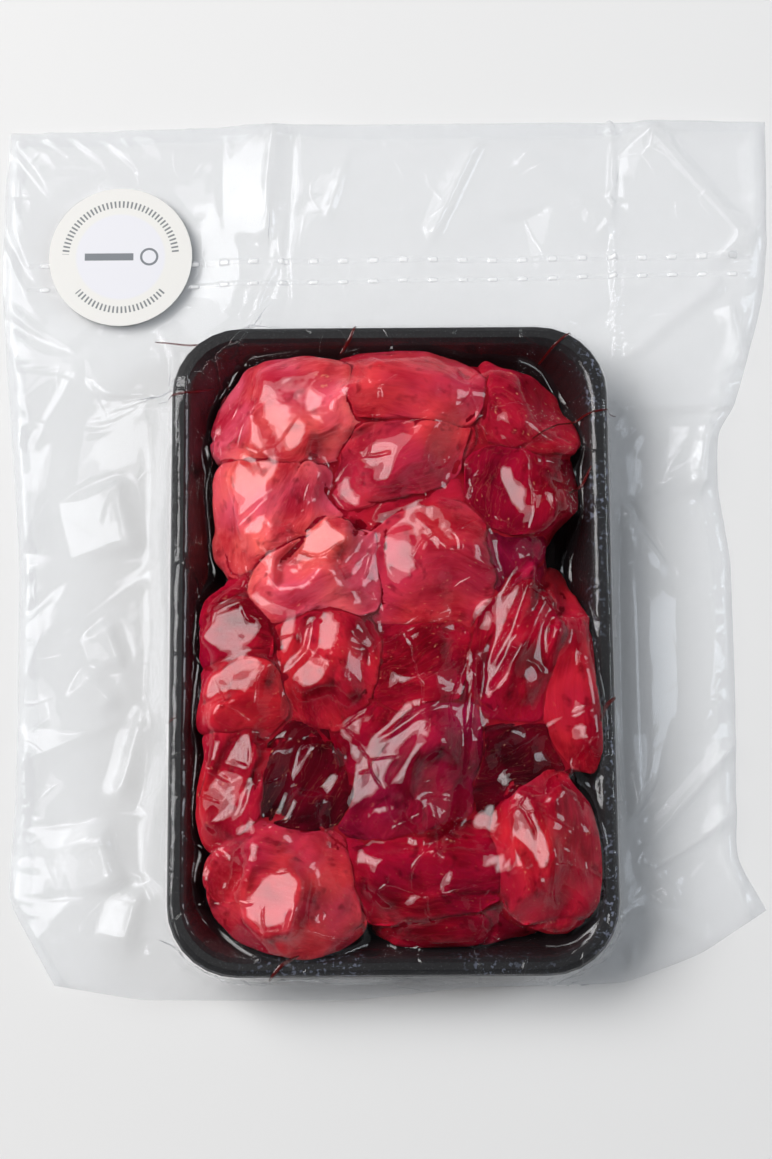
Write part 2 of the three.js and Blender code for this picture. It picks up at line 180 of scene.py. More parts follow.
# Label: its middle and radius, the levels between which the film lies under it, how far the film is flat
# round it and how steeply it may rise from there, and the marks in its print.
LABEL_AT = (-93.5, 140.0)
LABEL_RADIUS = 25.0
LABEL_FILM_Z = (2.9, 3.2)
LABEL_FLAT = 4.0
LABEL_SLOPE = 0.25
LABEL_DISC = (14.8, 16.2)
LABEL_TICKS = 84
LABEL_BAR = ((-12.5, 4.5), (-1.3, 1.3))
LABEL_RING = (10.0, 2.4, 3.2)

# How much longer the film is than the way over what it lies on, across and along: on the meat, on the flaps
# beside the tray, and on the wide flap above it.
SLACK_ON_TRAY = (0.012, 0.012)
SLACK_BESIDE = (0.002, 0.005)
SLACK_ABOVE = (0.004, 0.005)

# The level that the flaps lie at away from their folds, how far a fold fades beyond its ends, and the folds:
# the two ends of the crest, its height, and the width of the slope on its left and on its right.
FLAP_LEVEL = 3.5
FOLD_END = 7.0
FOLDS = [
    ((-93, 56), (-88, 38), 8.5, 30, 6), ((-88, 31), (-124, 34), 2.5, 6, 6),
    ((-96, 8), (-92, -2), 6.0, 17, 7), ((-102, -8), (-94, -16), 5.5, 18, 8),
    ((-110, 6), (-84, 26), 3.0, 5, 5), ((-84, -22), (-90, -46), 4.0, 7, 6),
    ((-98, -60), (-92, -76), 7.5, 20, 8), ((-84, -82), (-88, -96), 6.0, 17, 6),
    ((-84, 108), (-96, 90), 6.0, 18, 10), ((-108, 98), (-122, 72), 3.5, 8, 12),
    ((78, 84), (116, 85), 4.5, 6, 7), ((108, 77), (106, 58), 6.5, 20, 6),
    ((84, -66), (113, -34), 4.5, 12, 4), ((88, -72), (112, -56), 4.0, 11, 5),
    ((80, -84), (104, -97), 5.0, 8, 8), ((84, -70), (92, -84), 5.0, 12, 7),
    ((48, 176), (77, 150), 5.0, 10, 9), ((92, 184), (124, 144), 8.0, 24, 9),
    ((31, 180), (16, 147), 4.5, 12, 8), ((-40, 184), (-44, 148), 7.0, 20, 8),
    ((-14, 178), (-20, 156), 3.5, 9, 7), ((84, 104), (114, 128), 5.0, 12, 8),
    ((118, 120), (124, 96), 5.0, 14, 5), ((-120, 178), (-112, 168), 3.0, 10, 8),
]

# The tent of film on the right of the tray: its crest, where its foot runs (Y and X), and its slope.
TENT_CREST = 80.0
TENT_FOOT = ((-58, -44, -5, 30, 52), (80, 90, 102, 95, 80))
TENT_SLOPE = 0.44

# Dents of the flaps: their size and height, the height of a fold that smooths them away, and how far the
# crests of folds and dents are kept sharp, in ground cells.
FLAP_CRUMPLE = (25.0, 4.0)
FOLD_OVER_DENTS = 2.5
FLAP_CRISPNESS = 24

# Tight creases over the heap: both ends, height and half width.
TIGHT_CREASES = [
    ((28, 2), (24, -50), 1.5, 2.4), ((-8, -57), (10, -52), 1.0, 2.0), ((8, -52), (26, -54), 0.9, 1.8),
    ((9, -50), (7, -69), 0.9, 1.8), ((10, -50), (15, -74), 0.9, 1.8), ((-44, -45), (-31, -26), 1.2, 2.2),
    ((-42, -42), (-51, -60), 1.2, 2.2), ((-42, -44), (-61, -38), 1.0, 2.0), ((-27, -2), (-10, -18), 1.3, 2.2),
    ((-25, -2), (-36, -14), 1.2, 2.2), ((-26, -5), (-24, 9), 1.2, 2.2), ((-19, 21), (-8, 42), 1.3, 2.2),
    ((-17, 22), (-34, 26), 0.9, 1.8), ((6, 43), (21, 25), 1.2, 2.0), ((31, -14), (49, 26), 1.3, 2.2),
    ((37, -12), (54, 20), 1.2, 2.0), ((-58, 68), (-42, 80), 1.1, 2.0), ((-55, 34), (-35, 50), 1.1, 2.0),
    ((-51, 32), (-31, 37), 0.9, 1.8), ((-62, -66), (-43, -76), 1.0, 2.0), ((-62, -76), (-47, -85), 1.0, 2.0),
    ((-30, -83), (-35, -104), 1.2, 2.2), ((-8, -34), (19, -19), 1.2, 2.0), ((52, -65), (64, -82), 1.1, 2.0),
    ((38, -73), (53, -87), 1.0, 2.0), ((-4, -3), (20, 11), 1.1, 2.0), ((-13, 101), (-2, 90), 1.1, 2.0),
    ((47, -31), (68, -23), 1.1, 2.0), ((29, 77), (3, 70), 1.0, 1.8), ((45, 92), (56, 74), 1.1, 2.0),
    ((-57, 60), (-60, 84), 1.1, 2.0), ((56, 30), (52, 52), 1.0, 2.0), ((-60, 8), (-46, 14), 0.9, 1.8),
]
CREASE_BEND = (14.0, 1.3)

# Rounds of the film's fall, from coarse to fine: cell size in fine cells, steps, sweeps a step, pull of the
# vacuum, hold of the loose edges, evening rate, crease limit in cells, and size of the first disturbance.
FILM_ROUNDS = [
    (8, 200, 10, 0.35, 0.012, 0.02, 0.3, 0.2),
    (4, 120, 10, 0.25, 0.010, 0.02, 0.2, 0.05),
    (2, 80, 8, 0.15, 0.008, 0.02, 0.12, 0.0),
    (1, 40, 8, 0.08, 0.006, 0.02, 0.08, 0.0),
]
FILM_DAMPING = 0.8

# Meat: the tone of each piece, the direction of its grain in degrees and the share of marbling.
MEAT_LOOKS = {
    "top_left": ("salmon", 20, 0.5),
    "top_centre": ("rose", -10, 0.2),
    "top_right": ("red", -30, 0.9),
    "left_slab": ("salmon", 70, 0.2),
    "strip": ("rose", 16, 0.3),
    "strip_low": ("red", 14, 0.2),
    "centre_left": ("salmon", 30, 0.3),
    "centre_left_low": ("red", -60, 0.4),
    "centre": ("rose", -12, 0.4),
    "centre_small": ("crimson", 25, 0.6),
    "right_top": ("crimson", 70, 0.7),
    "right_purple": ("purple", 100, 0.2),
    "right_strip": ("crimson", 74, 0.2),
    "right_edge": ("red", 95, 0.1),
    "right_dark": ("dark", 10, 0.4),
    "left_mid": ("crimson", 0, 0.4),
    "left_mid_low": ("red", 10, 0.4),
    "left_low": ("red", 80, 0.5),
    "left_low_dark": ("dark", 60, 0.9),
    "mid_dark": ("crimson", 45, 0.4),
    "long_strip": ("purple", 53, 0.3),
    "bottom_centre": ("crimson", -8, 0.3),
    "bottom_strip": ("crimson", 0, 0.2),
    "bottom_left": ("rose", -15, 0.4),
    "bottom_right": ("red", 95, 0.4),
}

# Meat: the deep and the bright colour of each tone, the dark crimson of juice and painted shade in the
# valleys, the colour of fat, and the two tints between which the hue drifts.
MEAT_TONES = {
    "salmon": ((0.48, 0.018, 0.032), (0.86, 0.13, 0.14)),
    "rose": ((0.34, 0.005, 0.018), (0.64, 0.042, 0.064)),
    "red": ((0.26, 0.0015, 0.011), (0.55, 0.016, 0.034)),
    "crimson": ((0.14, 0.0003, 0.006), (0.39, 0.004, 0.024)),
    "purple": ((0.14, 0.0006, 0.011), (0.36, 0.007, 0.040)),
    "dark": ((0.035, 0.0001, 0.002), (0.145, 0.0008, 0.008)),
}
# Juice and painted shade: the dark crimson that flesh deep in the valleys is darkened to.
JUICE_AND_SHADE_COLOR = (0.14, 0.001, 0.006)
FAT_COLOR = (0.78, 0.30, 0.18)
MEAT_TINTS = ((0.90, 0.72, 1.15), (1.08, 1.15, 0.95))
MEAT_VOXEL = 1.2

# Pressing of the pieces against each other: the size of the coarse mesh, the gap that each round leaves (the
# last one lets them sink into each other a little), the most that a round adds, how near a neighbour has to
# be, the gap to the tray, how eager the flesh is with its unevenness, and how much the tops are spared.
PRESS_VOXEL = 2.2
PRESS_GAPS = (0.12, 0.12, 0.12, 0.12, -2.4)
PRESS_STEP = 0.9
PRESS_REACH = 7.0
TRAY_GAP = 0.35
PRESS_EAGER = (0.65, 0.6)
PRESS_PATCH = 17.0
PRESS_SPARED = 0.6

# Cuts of the knife on each piece, and how deep they go in.
KNIFE_CUTS = 4
KNIFE_DEPTH = (1.0, 3.0)

# Push of the heap: the size and the strength of each of its noises, and how far it reaches each way.
HEAP_PUSHES = [(19.0, 1.0), (8.0, 0.4)]
HEAP_PUSH = (3.4, 3.4, 1.2)

# Lift of the flesh under the vacuum: the half width of the valleys that are filled in ground cells, the sag
# of the skin over a valley, the share of it that is filled, the most that is filled, the levels between which
# the lift sets in, and the ridges that the film leaves in the flesh, each with its size and its height.
HEAP_REACH = 7
HEAP_SAG = 0.006
HEAP_FILL = 0.92
HEAP_MOST = 8.0
HEAP_LEVELS = (7.0, 20.0)
CRUMPLES = [(22.0, 3.5), (11.0, 1.0)]

# Juice in the seams between the pieces: the half width of a seam in ground cells, the juice's depth, and its
# colours.
SEAM_REACH = 2
SEAM_DEPTH = 0.45
SEAM_COLORS = ((0.20, 0.0015, 0.009), (0.36, 0.008, 0.020))
STREAK_COLOR = (0.10, 0.004, 0.004)

# Plane faces of the heap, on which the film lies flat: middle, half length, half width, direction in degrees,
# rise to the right and rise towards the tray's far end.
FLAT_FACES = [
    (-38, -84, 13, 9, 75, 0.40, -0.08), (-22, -78, 13, 6, 100, -0.30, 0.05),
    (-55, -76, 10, 6, 60, 0.10, 0.30), (-52, -44, 16, 6, 62, 0.50, -0.05),
    (-37, -47, 15, 6, 70, -0.45, 0.10), (-24, -42, 10, 6, 60, -0.10, 0.35),
    (-51, 2, 12, 4, 4, 0.24, -0.12), (-50, -13, 13, 5, 22, 0.30, 0.08),
    (-50, -25, 9, 5, 10, -0.15, 0.40), (-24, -4, 15, 7, 72, 0.34, -0.10),
    (-12, -8, 12, 5, 80, -0.45, 0.05), (-25, 29, 17, 6, 42, 0.44, 0.02),
    (-9, 27, 12, 6, 60, -0.30, -0.05), (-47, 47, 15, 5, 104, 0.42, -0.02),
    (-32, 50, 14, 8, 70, -0.12, 0.10), (-35, 72, 13, 6, -46, 0.30, 0.02),
    (-3, 76, 18, 8, 0, -0.06, 0.12), (-1, -37, 22, 6, 52, 0.46, -0.16),
    (13, -50, 14, 7, 80, -0.30, 0.02), (38, 3, 25, 4.5, 68, 0.50, -0.10),
    (48, 0, 22, 4, 75, -0.45, 0.0), (35, -37, 10, 7, 20, -0.20, 0.30),
    (44, -63, 16, 5, -70, 0.50, 0.02), (56, -62, 16, 5, -80, -0.50, 0.0),
    (40, 51, 10, 4, -60, 0.42, 0.0), (15, 38, 9, 5, -60, 0.22, -0.06),
    (6, -76, 14, 7, 10, -0.05, 0.30),
]


# Frame helpers

def in_frame(points):
    """Points in millimetres from the tray's middle, as metres in the frame."""
    return np.asarray(points, float) * MM + TRAY_MIDDLE


def new_piece(name, mesh, slot, *nodes):
    piece = bpy.data.objects.new(name, mesh)
    bpy.context.scene.collection.objects.link(piece)
    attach(piece, "root")
    if nodes:
        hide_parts(*nodes)
    return piece


def paint(mesh, material):
    mesh.materials.clear()
    mesh.materials.append(material)


# Mesh helpers

def smooth_mesh(name, points, faces, material):
    """A mesh with smooth shading from points in millimetres and an array of faces."""
    mesh = bpy.data.meshes.new(name)
    mesh.from_pydata(in_frame(points).tolist(), [], faces.tolist())
    mesh.shade_smooth()
    paint(mesh, material)
    return mesh


def read_rows(items, field, width, kind=np.float32):
    """One field of all the items of a mesh, a row each."""
    flat = np.empty(len(items) * width, kind)
    items.foreach_get(field, flat)
    return flat.reshape(-1, width)


def own_points(mesh):
    """Points of a mesh in millimetres from the tray's middle."""
    return (read_rows(mesh.vertices, "co", 3).astype(float) - TRAY_MIDDLE) / MM


def mesh_normals(mesh):
    return read_rows(mesh.vertex_normals, "vector", 3).astype(float)


def set_points(mesh, points):
    """Moves the points of a mesh to places in millimetres from the tray's middle."""
    mesh.vertices.foreach_set("co", in_frame(points).astype(np.float32).ravel())
    mesh.update()


def mesh_faces(mesh):
    return [tuple(polygon.vertices) for polygon in mesh.polygons]


def mesh_edges(mesh):
    return read_rows(mesh.edges, "vertices", 2, np.int32)


def add_attribute(mesh, name, kind, values):
    attribute = mesh.attributes.new(name, kind, "POINT")
    field = "vector" if kind == "FLOAT_VECTOR" else "value"
    attribute.data.foreach_set(field, values.astype(np.float32).ravel())


def grid_faces(rows, columns):
    """The four-sided faces between the points of a grid."""
    index = np.arange(rows * columns).reshape(rows, columns)
    corners = [index[:-1, :-1], index[:-1, 1:], index[1:, 1:], index[1:, :-1]]
    return np.stack(corners, axis=-1).reshape(-1, 4)


# Shape helpers

def smooth_step(value):
    share = np.clip(value, 0, 1)
    return share * share * (3 - 2 * share)


def noise_at(points, seed):
    """Smooth noise between -1 and 1 at an array of points, one cell of noise a unit."""
    cell = np.floor(points).astype(np.int64)
    fade = smooth_step(points - cell)
    total = np.zeros(len(points))
    for corner in np.ndindex(2, 2, 2):
        at = cell + np.array(corner)
        mixed = at[:, 0] * 73856093 ^ at[:, 1] * 19349663 ^ at[:, 2] * 83492791 ^ seed * 2654435761
        mixed = (mixed ^ (mixed >> 13)) * 1274126177 & 0x7FFFFFFF
        weight = np.prod(np.where(corner, fade, 1 - fade), axis=1)
        total += weight * (mixed % 65536 / 32768.0 - 1)
    return total


def noise_grid(x, y, size, seed):
    """Smooth noise over places seen from above, one cell of noise as large as the size."""
    places = np.dstack([x, y, np.zeros(x.shape)]).reshape(-1, 3) / size
    return noise_at(places, seed).reshape(x.shape)


def rim_distance(x, y):
    """How far places are outside the rim of the tray, in millimetres."""
    beyond_x = np.maximum(np.abs(x) - (TRAY_HALF[0] - TRAY_CORNER), 0)
    beyond_y = np.maximum(np.abs(y) - (TRAY_HALF[1] - TRAY_CORNER), 0)
    return np.hypot(beyond_x, beyond_y) - TRAY_CORNER


# Ground grid

def grid_places():
    x = GROUND_LOW[0] + GROUND_STEP * np.arange(GROUND_COUNT[0])
    y = GROUND_LOW[1] + GROUND_STEP * np.arange(GROUND_COUNT[1])
    return np.meshgrid(x, y)


def heap_tree(objects):
    """One tree of all the objects in millimetres, and the number of the object that each face is of."""
    points, faces, owners = [], [], []
    for number, source in enumerate(objects):
        shift = len(points)
        points.extend(own_points(source.data).tolist())
        faces.extend([[index + shift for index in face] for face in mesh_faces(source.data)])
        owners.extend([number] * len(source.data.polygons))
    return BVHTree.FromPolygons(points, faces), np.array(owners)


def hit_below(tree, x, y):
    """Where a look straight down meets a tree's surface, and the face there, or None twice."""
    hit, _, face, _ = tree.ray_cast(Vector((x, y, ABOVE_ALL)), Vector((0, 0, -1)))
    return hit, face


def grid_hits(tree):
    """Height of a tree's surface over each place of the ground grid, or 0, and the face there, or -1."""
    grid = np.zeros((GROUND_COUNT[1], GROUND_COUNT[0]), np.float32)
    hit_faces = np.full(grid.shape, -1)
    for row in range(GROUND_COUNT[1]):
        y = GROUND_LOW[1] + row * GROUND_STEP
        for column in range(GROUND_COUNT[0]):
            x = GROUND_LOW[0] + column * GROUND_STEP
            hit, face = hit_below(tree, x, y)
            if hit is not None:
                grid[row, column] = hit.z
                hit_faces[row, column] = face
    return grid, hit_faces


def height_grid(objects):
    """Highest point of the objects over each place of the ground grid, in millimetres, or 0."""
    return grid_hits(heap_tree(objects)[0])[0]


def spread_highest(grid, rounds=1):
    """Each place gets the greatest height of its neighbourhood, as many times as there are rounds."""
    rows, columns = grid.shape
    for _ in range(rounds):
        padded = np.pad(grid, 1, mode="edge")
        shifts = [padded[a:a + rows, b:b + columns] for a in range(3) for b in range(3)]
        grid = np.max(shifts, axis=0)
    return grid


def closed_over(grid, rounds):
    """The heights with every valley filled that is narrower than twice the rounds."""
    return -spread_highest(-spread_highest(grid, rounds), rounds)


def neighbour_sum(grid):
    """Sum of the four neighbours of each inner place of a grid."""
    return grid[:-2, 1:-1] + grid[2:, 1:-1] + grid[1:-1, :-2] + grid[1:-1, 2:]


def blurred(grid, rounds):
    for _ in range(rounds):
        grid = (neighbour_sum(np.pad(grid, 1, mode="edge")) + 4 * grid) / 8
    return grid


def sample(grid, x, y):
    """Heights of a grid at places between its points."""
    across = np.clip((x - GROUND_LOW[0]) / GROUND_STEP, 0, GROUND_COUNT[0] - 1.001)
    along = np.clip((y - GROUND_LOW[1]) / GROUND_STEP, 0, GROUND_COUNT[1] - 1.001)
    column = across.astype(np.int32)
    row = along.astype(np.int32)
    a = (across - column).astype(np.float32)
    b = (along - row).astype(np.float32)
    flat = grid.ravel()
    start = row * GROUND_COUNT[0] + column
    lower = flat[start] * (1 - a) + flat[start + 1] * a
    upper = flat[start + GROUND_COUNT[0]] * (1 - a) + flat[start + GROUND_COUNT[0] + 1] * a
    return lower * (1 - b) + upper * b


def tight_surface(low, fixed, press, steps=500):
    """A stretched sheet over the low grid, pressed down a little, that keeps the fixed places."""
    z = low.copy()
    inner = np.s_[1:-1, 1:-1]
    for _ in range(steps):
        pressed = np.maximum(neighbour_sum(z) / 4 - press[inner], low[inner])
        z[inner] = np.where(fixed[inner], z[inner], pressed)
    return z


def crumpled_grid(size, seed):
    """Heights between -1 and 1 of a crumpled sheet on the ground grid: planes between uneven knots."""
    random = np.random.default_rng(seed)
    row, column = np.indices((int(340 / size), int(330 / size)))
    shift = random.uniform(-0.36, 0.36, (2, *row.shape))
    x = -162 + size * (column + 0.5 * (row % 2) + shift[0])
    y = -145 + size * (row + shift[1])
    knots = np.dstack([x, y, random.uniform(-1, 1, row.shape)])
    cells = grid_faces(*row.shape)
    triangles = np.concatenate([cells[:, [0, 1, 2]], cells[:, [0, 2, 3]]])
    return grid_hits(BVHTree.FromPolygons(knots.reshape(-1, 3).tolist(), triangles.tolist()))[0]


# Shading helpers

class Shading:
    """The nodes of one material or of the world, with a short call for each kind of node."""

    def __init__(self, owner):
        owner.use_nodes = True
        self.nodes = owner.node_tree.nodes
        self.links = owner.node_tree.links

    def feed(self, socket, value):
        """Links an output to a socket, or sets the socket to a plain value."""
        if isinstance(value, bpy.types.NodeSocket):
            self.links.new(value, socket)
        elif socket.type == "RGBA":
            socket.default_value = (*value, 1.0)
        else:
            socket.default_value = value

    def surface(self, values):
        """Feeds the named sockets of the surface shader."""
        sockets = self.nodes["Principled BSDF"].inputs
        for name, value in values.items():
            self.feed(sockets[name], value)

    def math(self, operation, *values):
        node = self.nodes.new("ShaderNodeMath")
        node.operation = operation
        for socket, value in zip(node.inputs, values):
            self.feed(socket, value)
        return node.outputs[0]

    def minus(self, first, second):
        return self.math("SUBTRACT", first, second)

    def times(self, first, *others):
        for other in others:
            first = self.math("MULTIPLY", first, other)
        return first

    def most(self, first, *others):
        for other in others:
            first = self.math("MAXIMUM", first, other)
        return first

    def away(self, value, middle):
        """How far a value is from the middle, on either side."""
        return self.math("ABSOLUTE", self.minus(value, middle))

    def reach(self, first, second):
        """Length of the way that goes as far as both values, at a right angle."""
        return self.math("SQRT", self.math("ADD", self.math("POWER", first, 2.0), self.times(second, second)))

    def between(self, value, low, high):
        """1 where the value lies between two bounds, otherwise 0."""
        return self.times(self.math("GREATER_THAN", value, low), self.math("LESS_THAN", value, high))

    def ramp(self, value, low, high):
        """A share that rises smoothly from 0 to 1 as the value goes from low to high."""
        node = self.nodes.new("ShaderNodeMapRange")
        node.interpolation_type = "SMOOTHSTEP"
        node.inputs["From Min"].default_value = low
        node.inputs["From Max"].default_value = high
        self.links.new(value, node.inputs["Value"])
        return node.outputs["Result"]

    def fade(self, share, at_none, at_all):
        """A value that goes from the first to the second as the share goes from 0 to 1."""
        return self.math("MULTIPLY_ADD", share, at_all - at_none, at_none)

    def mix(self, share, first, second, blend="MIX"):
        node = self.nodes.new("ShaderNodeMix")
        node.data_type = "RGBA"
        node.blend_type = blend
        self.feed(node.inputs["Factor"], share)
        self.feed(node.inputs[6], first)
        self.feed(node.inputs[7], second)
        return node.outputs[2]

    def noise(self, vector, scale, detail=3.0, roughness=0.5, distortion=0.0):
        node = self.nodes.new("ShaderNodeTexNoise")
        node.inputs["Scale"].default_value = scale
        node.inputs["Detail"].default_value = detail
        node.inputs["Roughness"].default_value = roughness
        node.inputs["Distortion"].default_value = distortion
        self.links.new(vector, node.inputs["Vector"])
        return node.outputs["Fac"]

    def stretched_noise(self, vector, scales, **look):
        """Noise with a scale of its own for each axis."""
        node = self.nodes.new("ShaderNodeMapping")
        node.inputs["Scale"].default_value = scales
        self.links.new(vector, node.inputs["Vector"])
        return self.noise(node.outputs["Vector"], 1.0, **look)

    def bump(self, height, distance, strength=1.0):
        node = self.nodes.new("ShaderNodeBump")
        node.inputs["Distance"].default_value = distance
        node.inputs["Strength"].default_value = strength
        self.links.new(height, node.inputs["Height"])
        return node.outputs["Normal"]

    def attribute(self, name, output="Fac"):
        node = self.nodes.new("ShaderNodeAttribute")
        node.attribute_name = name
        return node.outputs[output]

    def place(self):
        return self.nodes.new("ShaderNodeTexCoord").outputs["Object"]

    def parts(self, vector):
        node = self.nodes.new("ShaderNodeSeparateXYZ")
        self.links.new(vector, node.inputs[0])
        return node.outputs

    def own_parts(self, middle=(0, 0)):
        """Places in millimetres from a point of the tray's plane."""
        pairs = zip(self.parts(self.place()), in_frame((*middle, 0)))
        return [self.times(self.minus(part, start), 1 / MM) for part, start in pairs]


def new_material(name):
    material = bpy.data.materials.new(name)
    return material, Shading(material)


# Camera, light and floor

def add_camera():
    back = Vector((0, -math.sin(CAMERA_LEAN), math.cos(CAMERA_LEAN)))
    level = Vector((1, 0, 0))
    upward = back.cross(level)
    turn_cos, turn_sin = math.cos(CAMERA_ROLL), math.sin(CAMERA_ROLL)
    right = level * turn_cos + upward * turn_sin
    up = upward * turn_cos - level * turn_sin
    place = Vector(in_frame(CAMERA_TARGET)) + back * CAMERA_DISTANCE * MM
    data = bpy.data.cameras.new("camera")
    data.sensor_fit = "VERTICAL"
    data.sensor_height = SENSOR
    data.lens = FOCAL_PIXELS * SENSOR / PHOTO_HEIGHT
    data.clip_start = 0.01
    camera = bpy.data.objects.new("camera", data)
    bpy.context.scene.collection.objects.link(camera)
    axes = Matrix((right, up, back)).transposed().to_4x4()
    camera.matrix_world = Matrix.Translation(place) @ axes
    bpy.context.scene.camera = camera


def add_lights():
    for name, place, size, power, color in LIGHTS:
        data = bpy.data.lights.new(name, "AREA")
        data.shape = "RECTANGLE"
        data.size, data.size_y = size
        data.energy = power
        data.color = color
        light = bpy.data.objects.new(name, data)
        bpy.context.scene.collection.objects.link(light)
        light.location = place
        aim = Vector(LIGHTS_AIM) - Vector(place)
        light.rotation_euler = aim.to_track_quat("-Z", "Y").to_euler()
    bpy.context.scene.view_settings.view_transform = "Standard"


def add_world():
    """A room that is dim overhead and pale round its walls."""
    world = bpy.data.worlds.new("studio")
    shading = Shading(world)
    direction = shading.nodes.new("ShaderNodeTexCoord").outputs["Generated"]
    upward = shading.ramp(shading.parts(direction)["Z"], 0.0, 0.5)
    color = shading.mix(upward, ROOM_WALLS, ROOM_CEILING)
    shading.feed(shading.nodes["Background"].inputs["Color"], color)
    bpy.context.scene.world = world


def add_floor():
    mesh = bpy.data.meshes.new("floor")
    corners = [(side * FLOOR_HALF, end * FLOOR_HALF, 0) for side, end in ((-1, -1), (1, -1), (1, 1), (-1, 1))]
    mesh.from_pydata(corners, [], [(0, 1, 2, 3)])
    floor = bpy.data.objects.new("floor", mesh)
    bpy.context.scene.collection.objects.link(floor)
    material, shading = new_material("floor")
    shading.surface({"Base Color": FLOOR_COLOR, "Roughness": 0.7, "Specular IOR Level": 0.2})
    mesh.materials.append(material)


# Tray

def stain_share(shading, parts, cloud):
    """The stain of juice on the tray's floor and on the lower part of its walls."""
    x, y, z = parts
    off_x = shading.ramp(shading.away(x, 0.0), STAIN_ENDS[0], STAIN_ENDS[0] - 3.5)
    off_y = shading.ramp(shading.away(y, 0.0), STAIN_ENDS[1], STAIN_ENDS[1] - 3.5)
    below = shading.ramp(z, 26.0, 18.0)
    return shading.times(off_x, off_y, below, shading.math("ADD", cloud, 0.25))


def rim_glint_share(shading, parts, cloud):
    """Painted bluish reflections in small specks on the top of the rim, on its right side and less on its
    near side.
    """
    x, y, z = parts
    # Specks of painted reflection, strongest where the cool light from the right would glint.
    glints = shading.ramp(shading.noise(shading.place(), 620.0, detail=2.0, roughness=0.6), 0.56, 0.64)
    to_right = shading.ramp(x, 60.0, 70.0)
    to_front = shading.times(shading.ramp(y, -95.0, -104.0), 0.6)
    on_rim = shading.ramp(z, 19.0, 24.0)
    return shading.times(shading.most(to_right, to_front), on_rim, glints, shading.ramp(cloud, 0.40, 0.60))


def foam_material():
    material, shading = new_material("black_foam")
    place = shading.place()
    parts = shading.own_parts()
    beads = shading.nodes.new("ShaderNodeTexVoronoi")
    beads.inputs["Scale"].default_value = 900.0
    shading.feed(beads.inputs["Vector"], place)
    grain = shading.noise(place, 2600.0, detail=2.0, roughness=0.6)
    cloud = shading.noise(place, 60.0, detail=3.0, roughness=0.55)
    foam = shading.mix(shading.ramp(grain, 0.62, 0.75), shading.mix(cloud, *FOAM_COLORS), SPECK_COLOR)
    stained = shading.mix(stain_share(shading, parts, cloud), foam, STAIN_COLOR)
    # The base colour carries painted bluish reflections on the rim's right and near side.
    shading.surface({
        "Base Color": shading.mix(rim_glint_share(shading, parts, cloud), stained, RIM_GLINT_COLOR),
        "Roughness": 0.48,
        "Specular IOR Level": 0.35,
        "Normal": shading.bump(beads.outputs["Distance"], 0.00012, 0.6),
    })
    return material


# Meat: its material

def flesh_color(shading, tone, along, fibres, blotches):
    """Bare flesh: deep and bright patches, paler fibres, dark blotches and a slow drift of its hue."""
    deep, bright = MEAT_TONES[tone]
    pale = tuple(min(1.0, channel * 1.3 + 0.006) for channel in bright)
    darkest = tuple(channel * 0.45 for channel in deep)
    patches = shading.stretched_noise(along, (0.05, 0.07, 0.07), detail=3.0, roughness=0.55)
    base = shading.mix(shading.ramp(patches, 0.32, 0.68), deep, bright)
    streaked = shading.mix(shading.times(shading.ramp(fibres, 0.45, 0.7), 0.22), base, pale)
    blotched = shading.mix(shading.times(shading.ramp(blotches, 0.56, 0.75), 0.6), streaked, darkest)
    drift = shading.noise(shading.place(), 38.0, detail=2.0)
    tint = shading.mix(shading.ramp(drift, 0.35, 0.65), *MEAT_TINTS)
    return shading.mix(1.0, blotched, tint, "MULTIPLY")


def fat_share(shading, along):
    """Thin lines and flecks of fat, as much as the piece's own marbling says."""
    lines = shading.stretched_noise(along, (0.06, 0.2, 0.2), detail=4.0, roughness=0.55, distortion=1.2)
    on_line = shading.minus(1.0, shading.ramp(shading.away(lines, 0.5), 0.0, 0.012))
    flecks = shading.stretched_noise(along, (0.45, 0.7, 0.7), detail=3.0, roughness=0.6)
    fat = shading.most(shading.times(on_line, 0.12), shading.ramp(flecks, 0.66, 0.74))
    return shading.times(fat, shading.attribute("marbling"))


def flesh_material(tone):
    material, shading = new_material("flesh_" + tone)
    along = shading.attribute("grain", "Vector")
    fibres = shading.stretched_noise(along, (0.07, 0.75, 0.75), detail=4.0, roughness=0.6, distortion=0.4)
    blotches = shading.stretched_noise(along, (0.2, 0.25, 0.25), detail=2.0)
    flesh = flesh_color(shading, tone, along, fibres, blotches)
    # Painted shade: flesh lying deep below the heap's skin is darkened towards a dark crimson, partly juice
    # and partly the shade of the valleys.
    sunken = shading.times(shading.ramp(shading.attribute("sunken"), 2.0, 7.0), 0.8)
    juice_and_shade = shading.mix(sunken, flesh, JUICE_AND_SHADE_COLOR)
    height = shading.math("ADD", fibres, shading.times(blotches, 0.6))
    shading.surface({
        "Base Color": shading.mix(fat_share(shading, along), juice_and_shade, FAT_COLOR),
        "Subsurface Weight": 0.45,
        "Subsurface Radius": (0.0045, 0.0009, 0.0007),
        "Subsurface Scale": 1.0,
        "Roughness": 0.5,
        "Specular IOR Level": 0.0,
        "Normal": shading.bump(height, 0.0006, 0.7),
    })
    return material


# Meat: the form of its pieces

def welded_copy(node):
    mesh = frame["nodes"][node].data.copy()
    work = bmesh.new()
    work.from_mesh(mesh)
    bmesh.ops.remove_doubles(work, verts=work.verts, dist=0.00001)
    work.to_mesh(mesh)
    work.free()
    return mesh


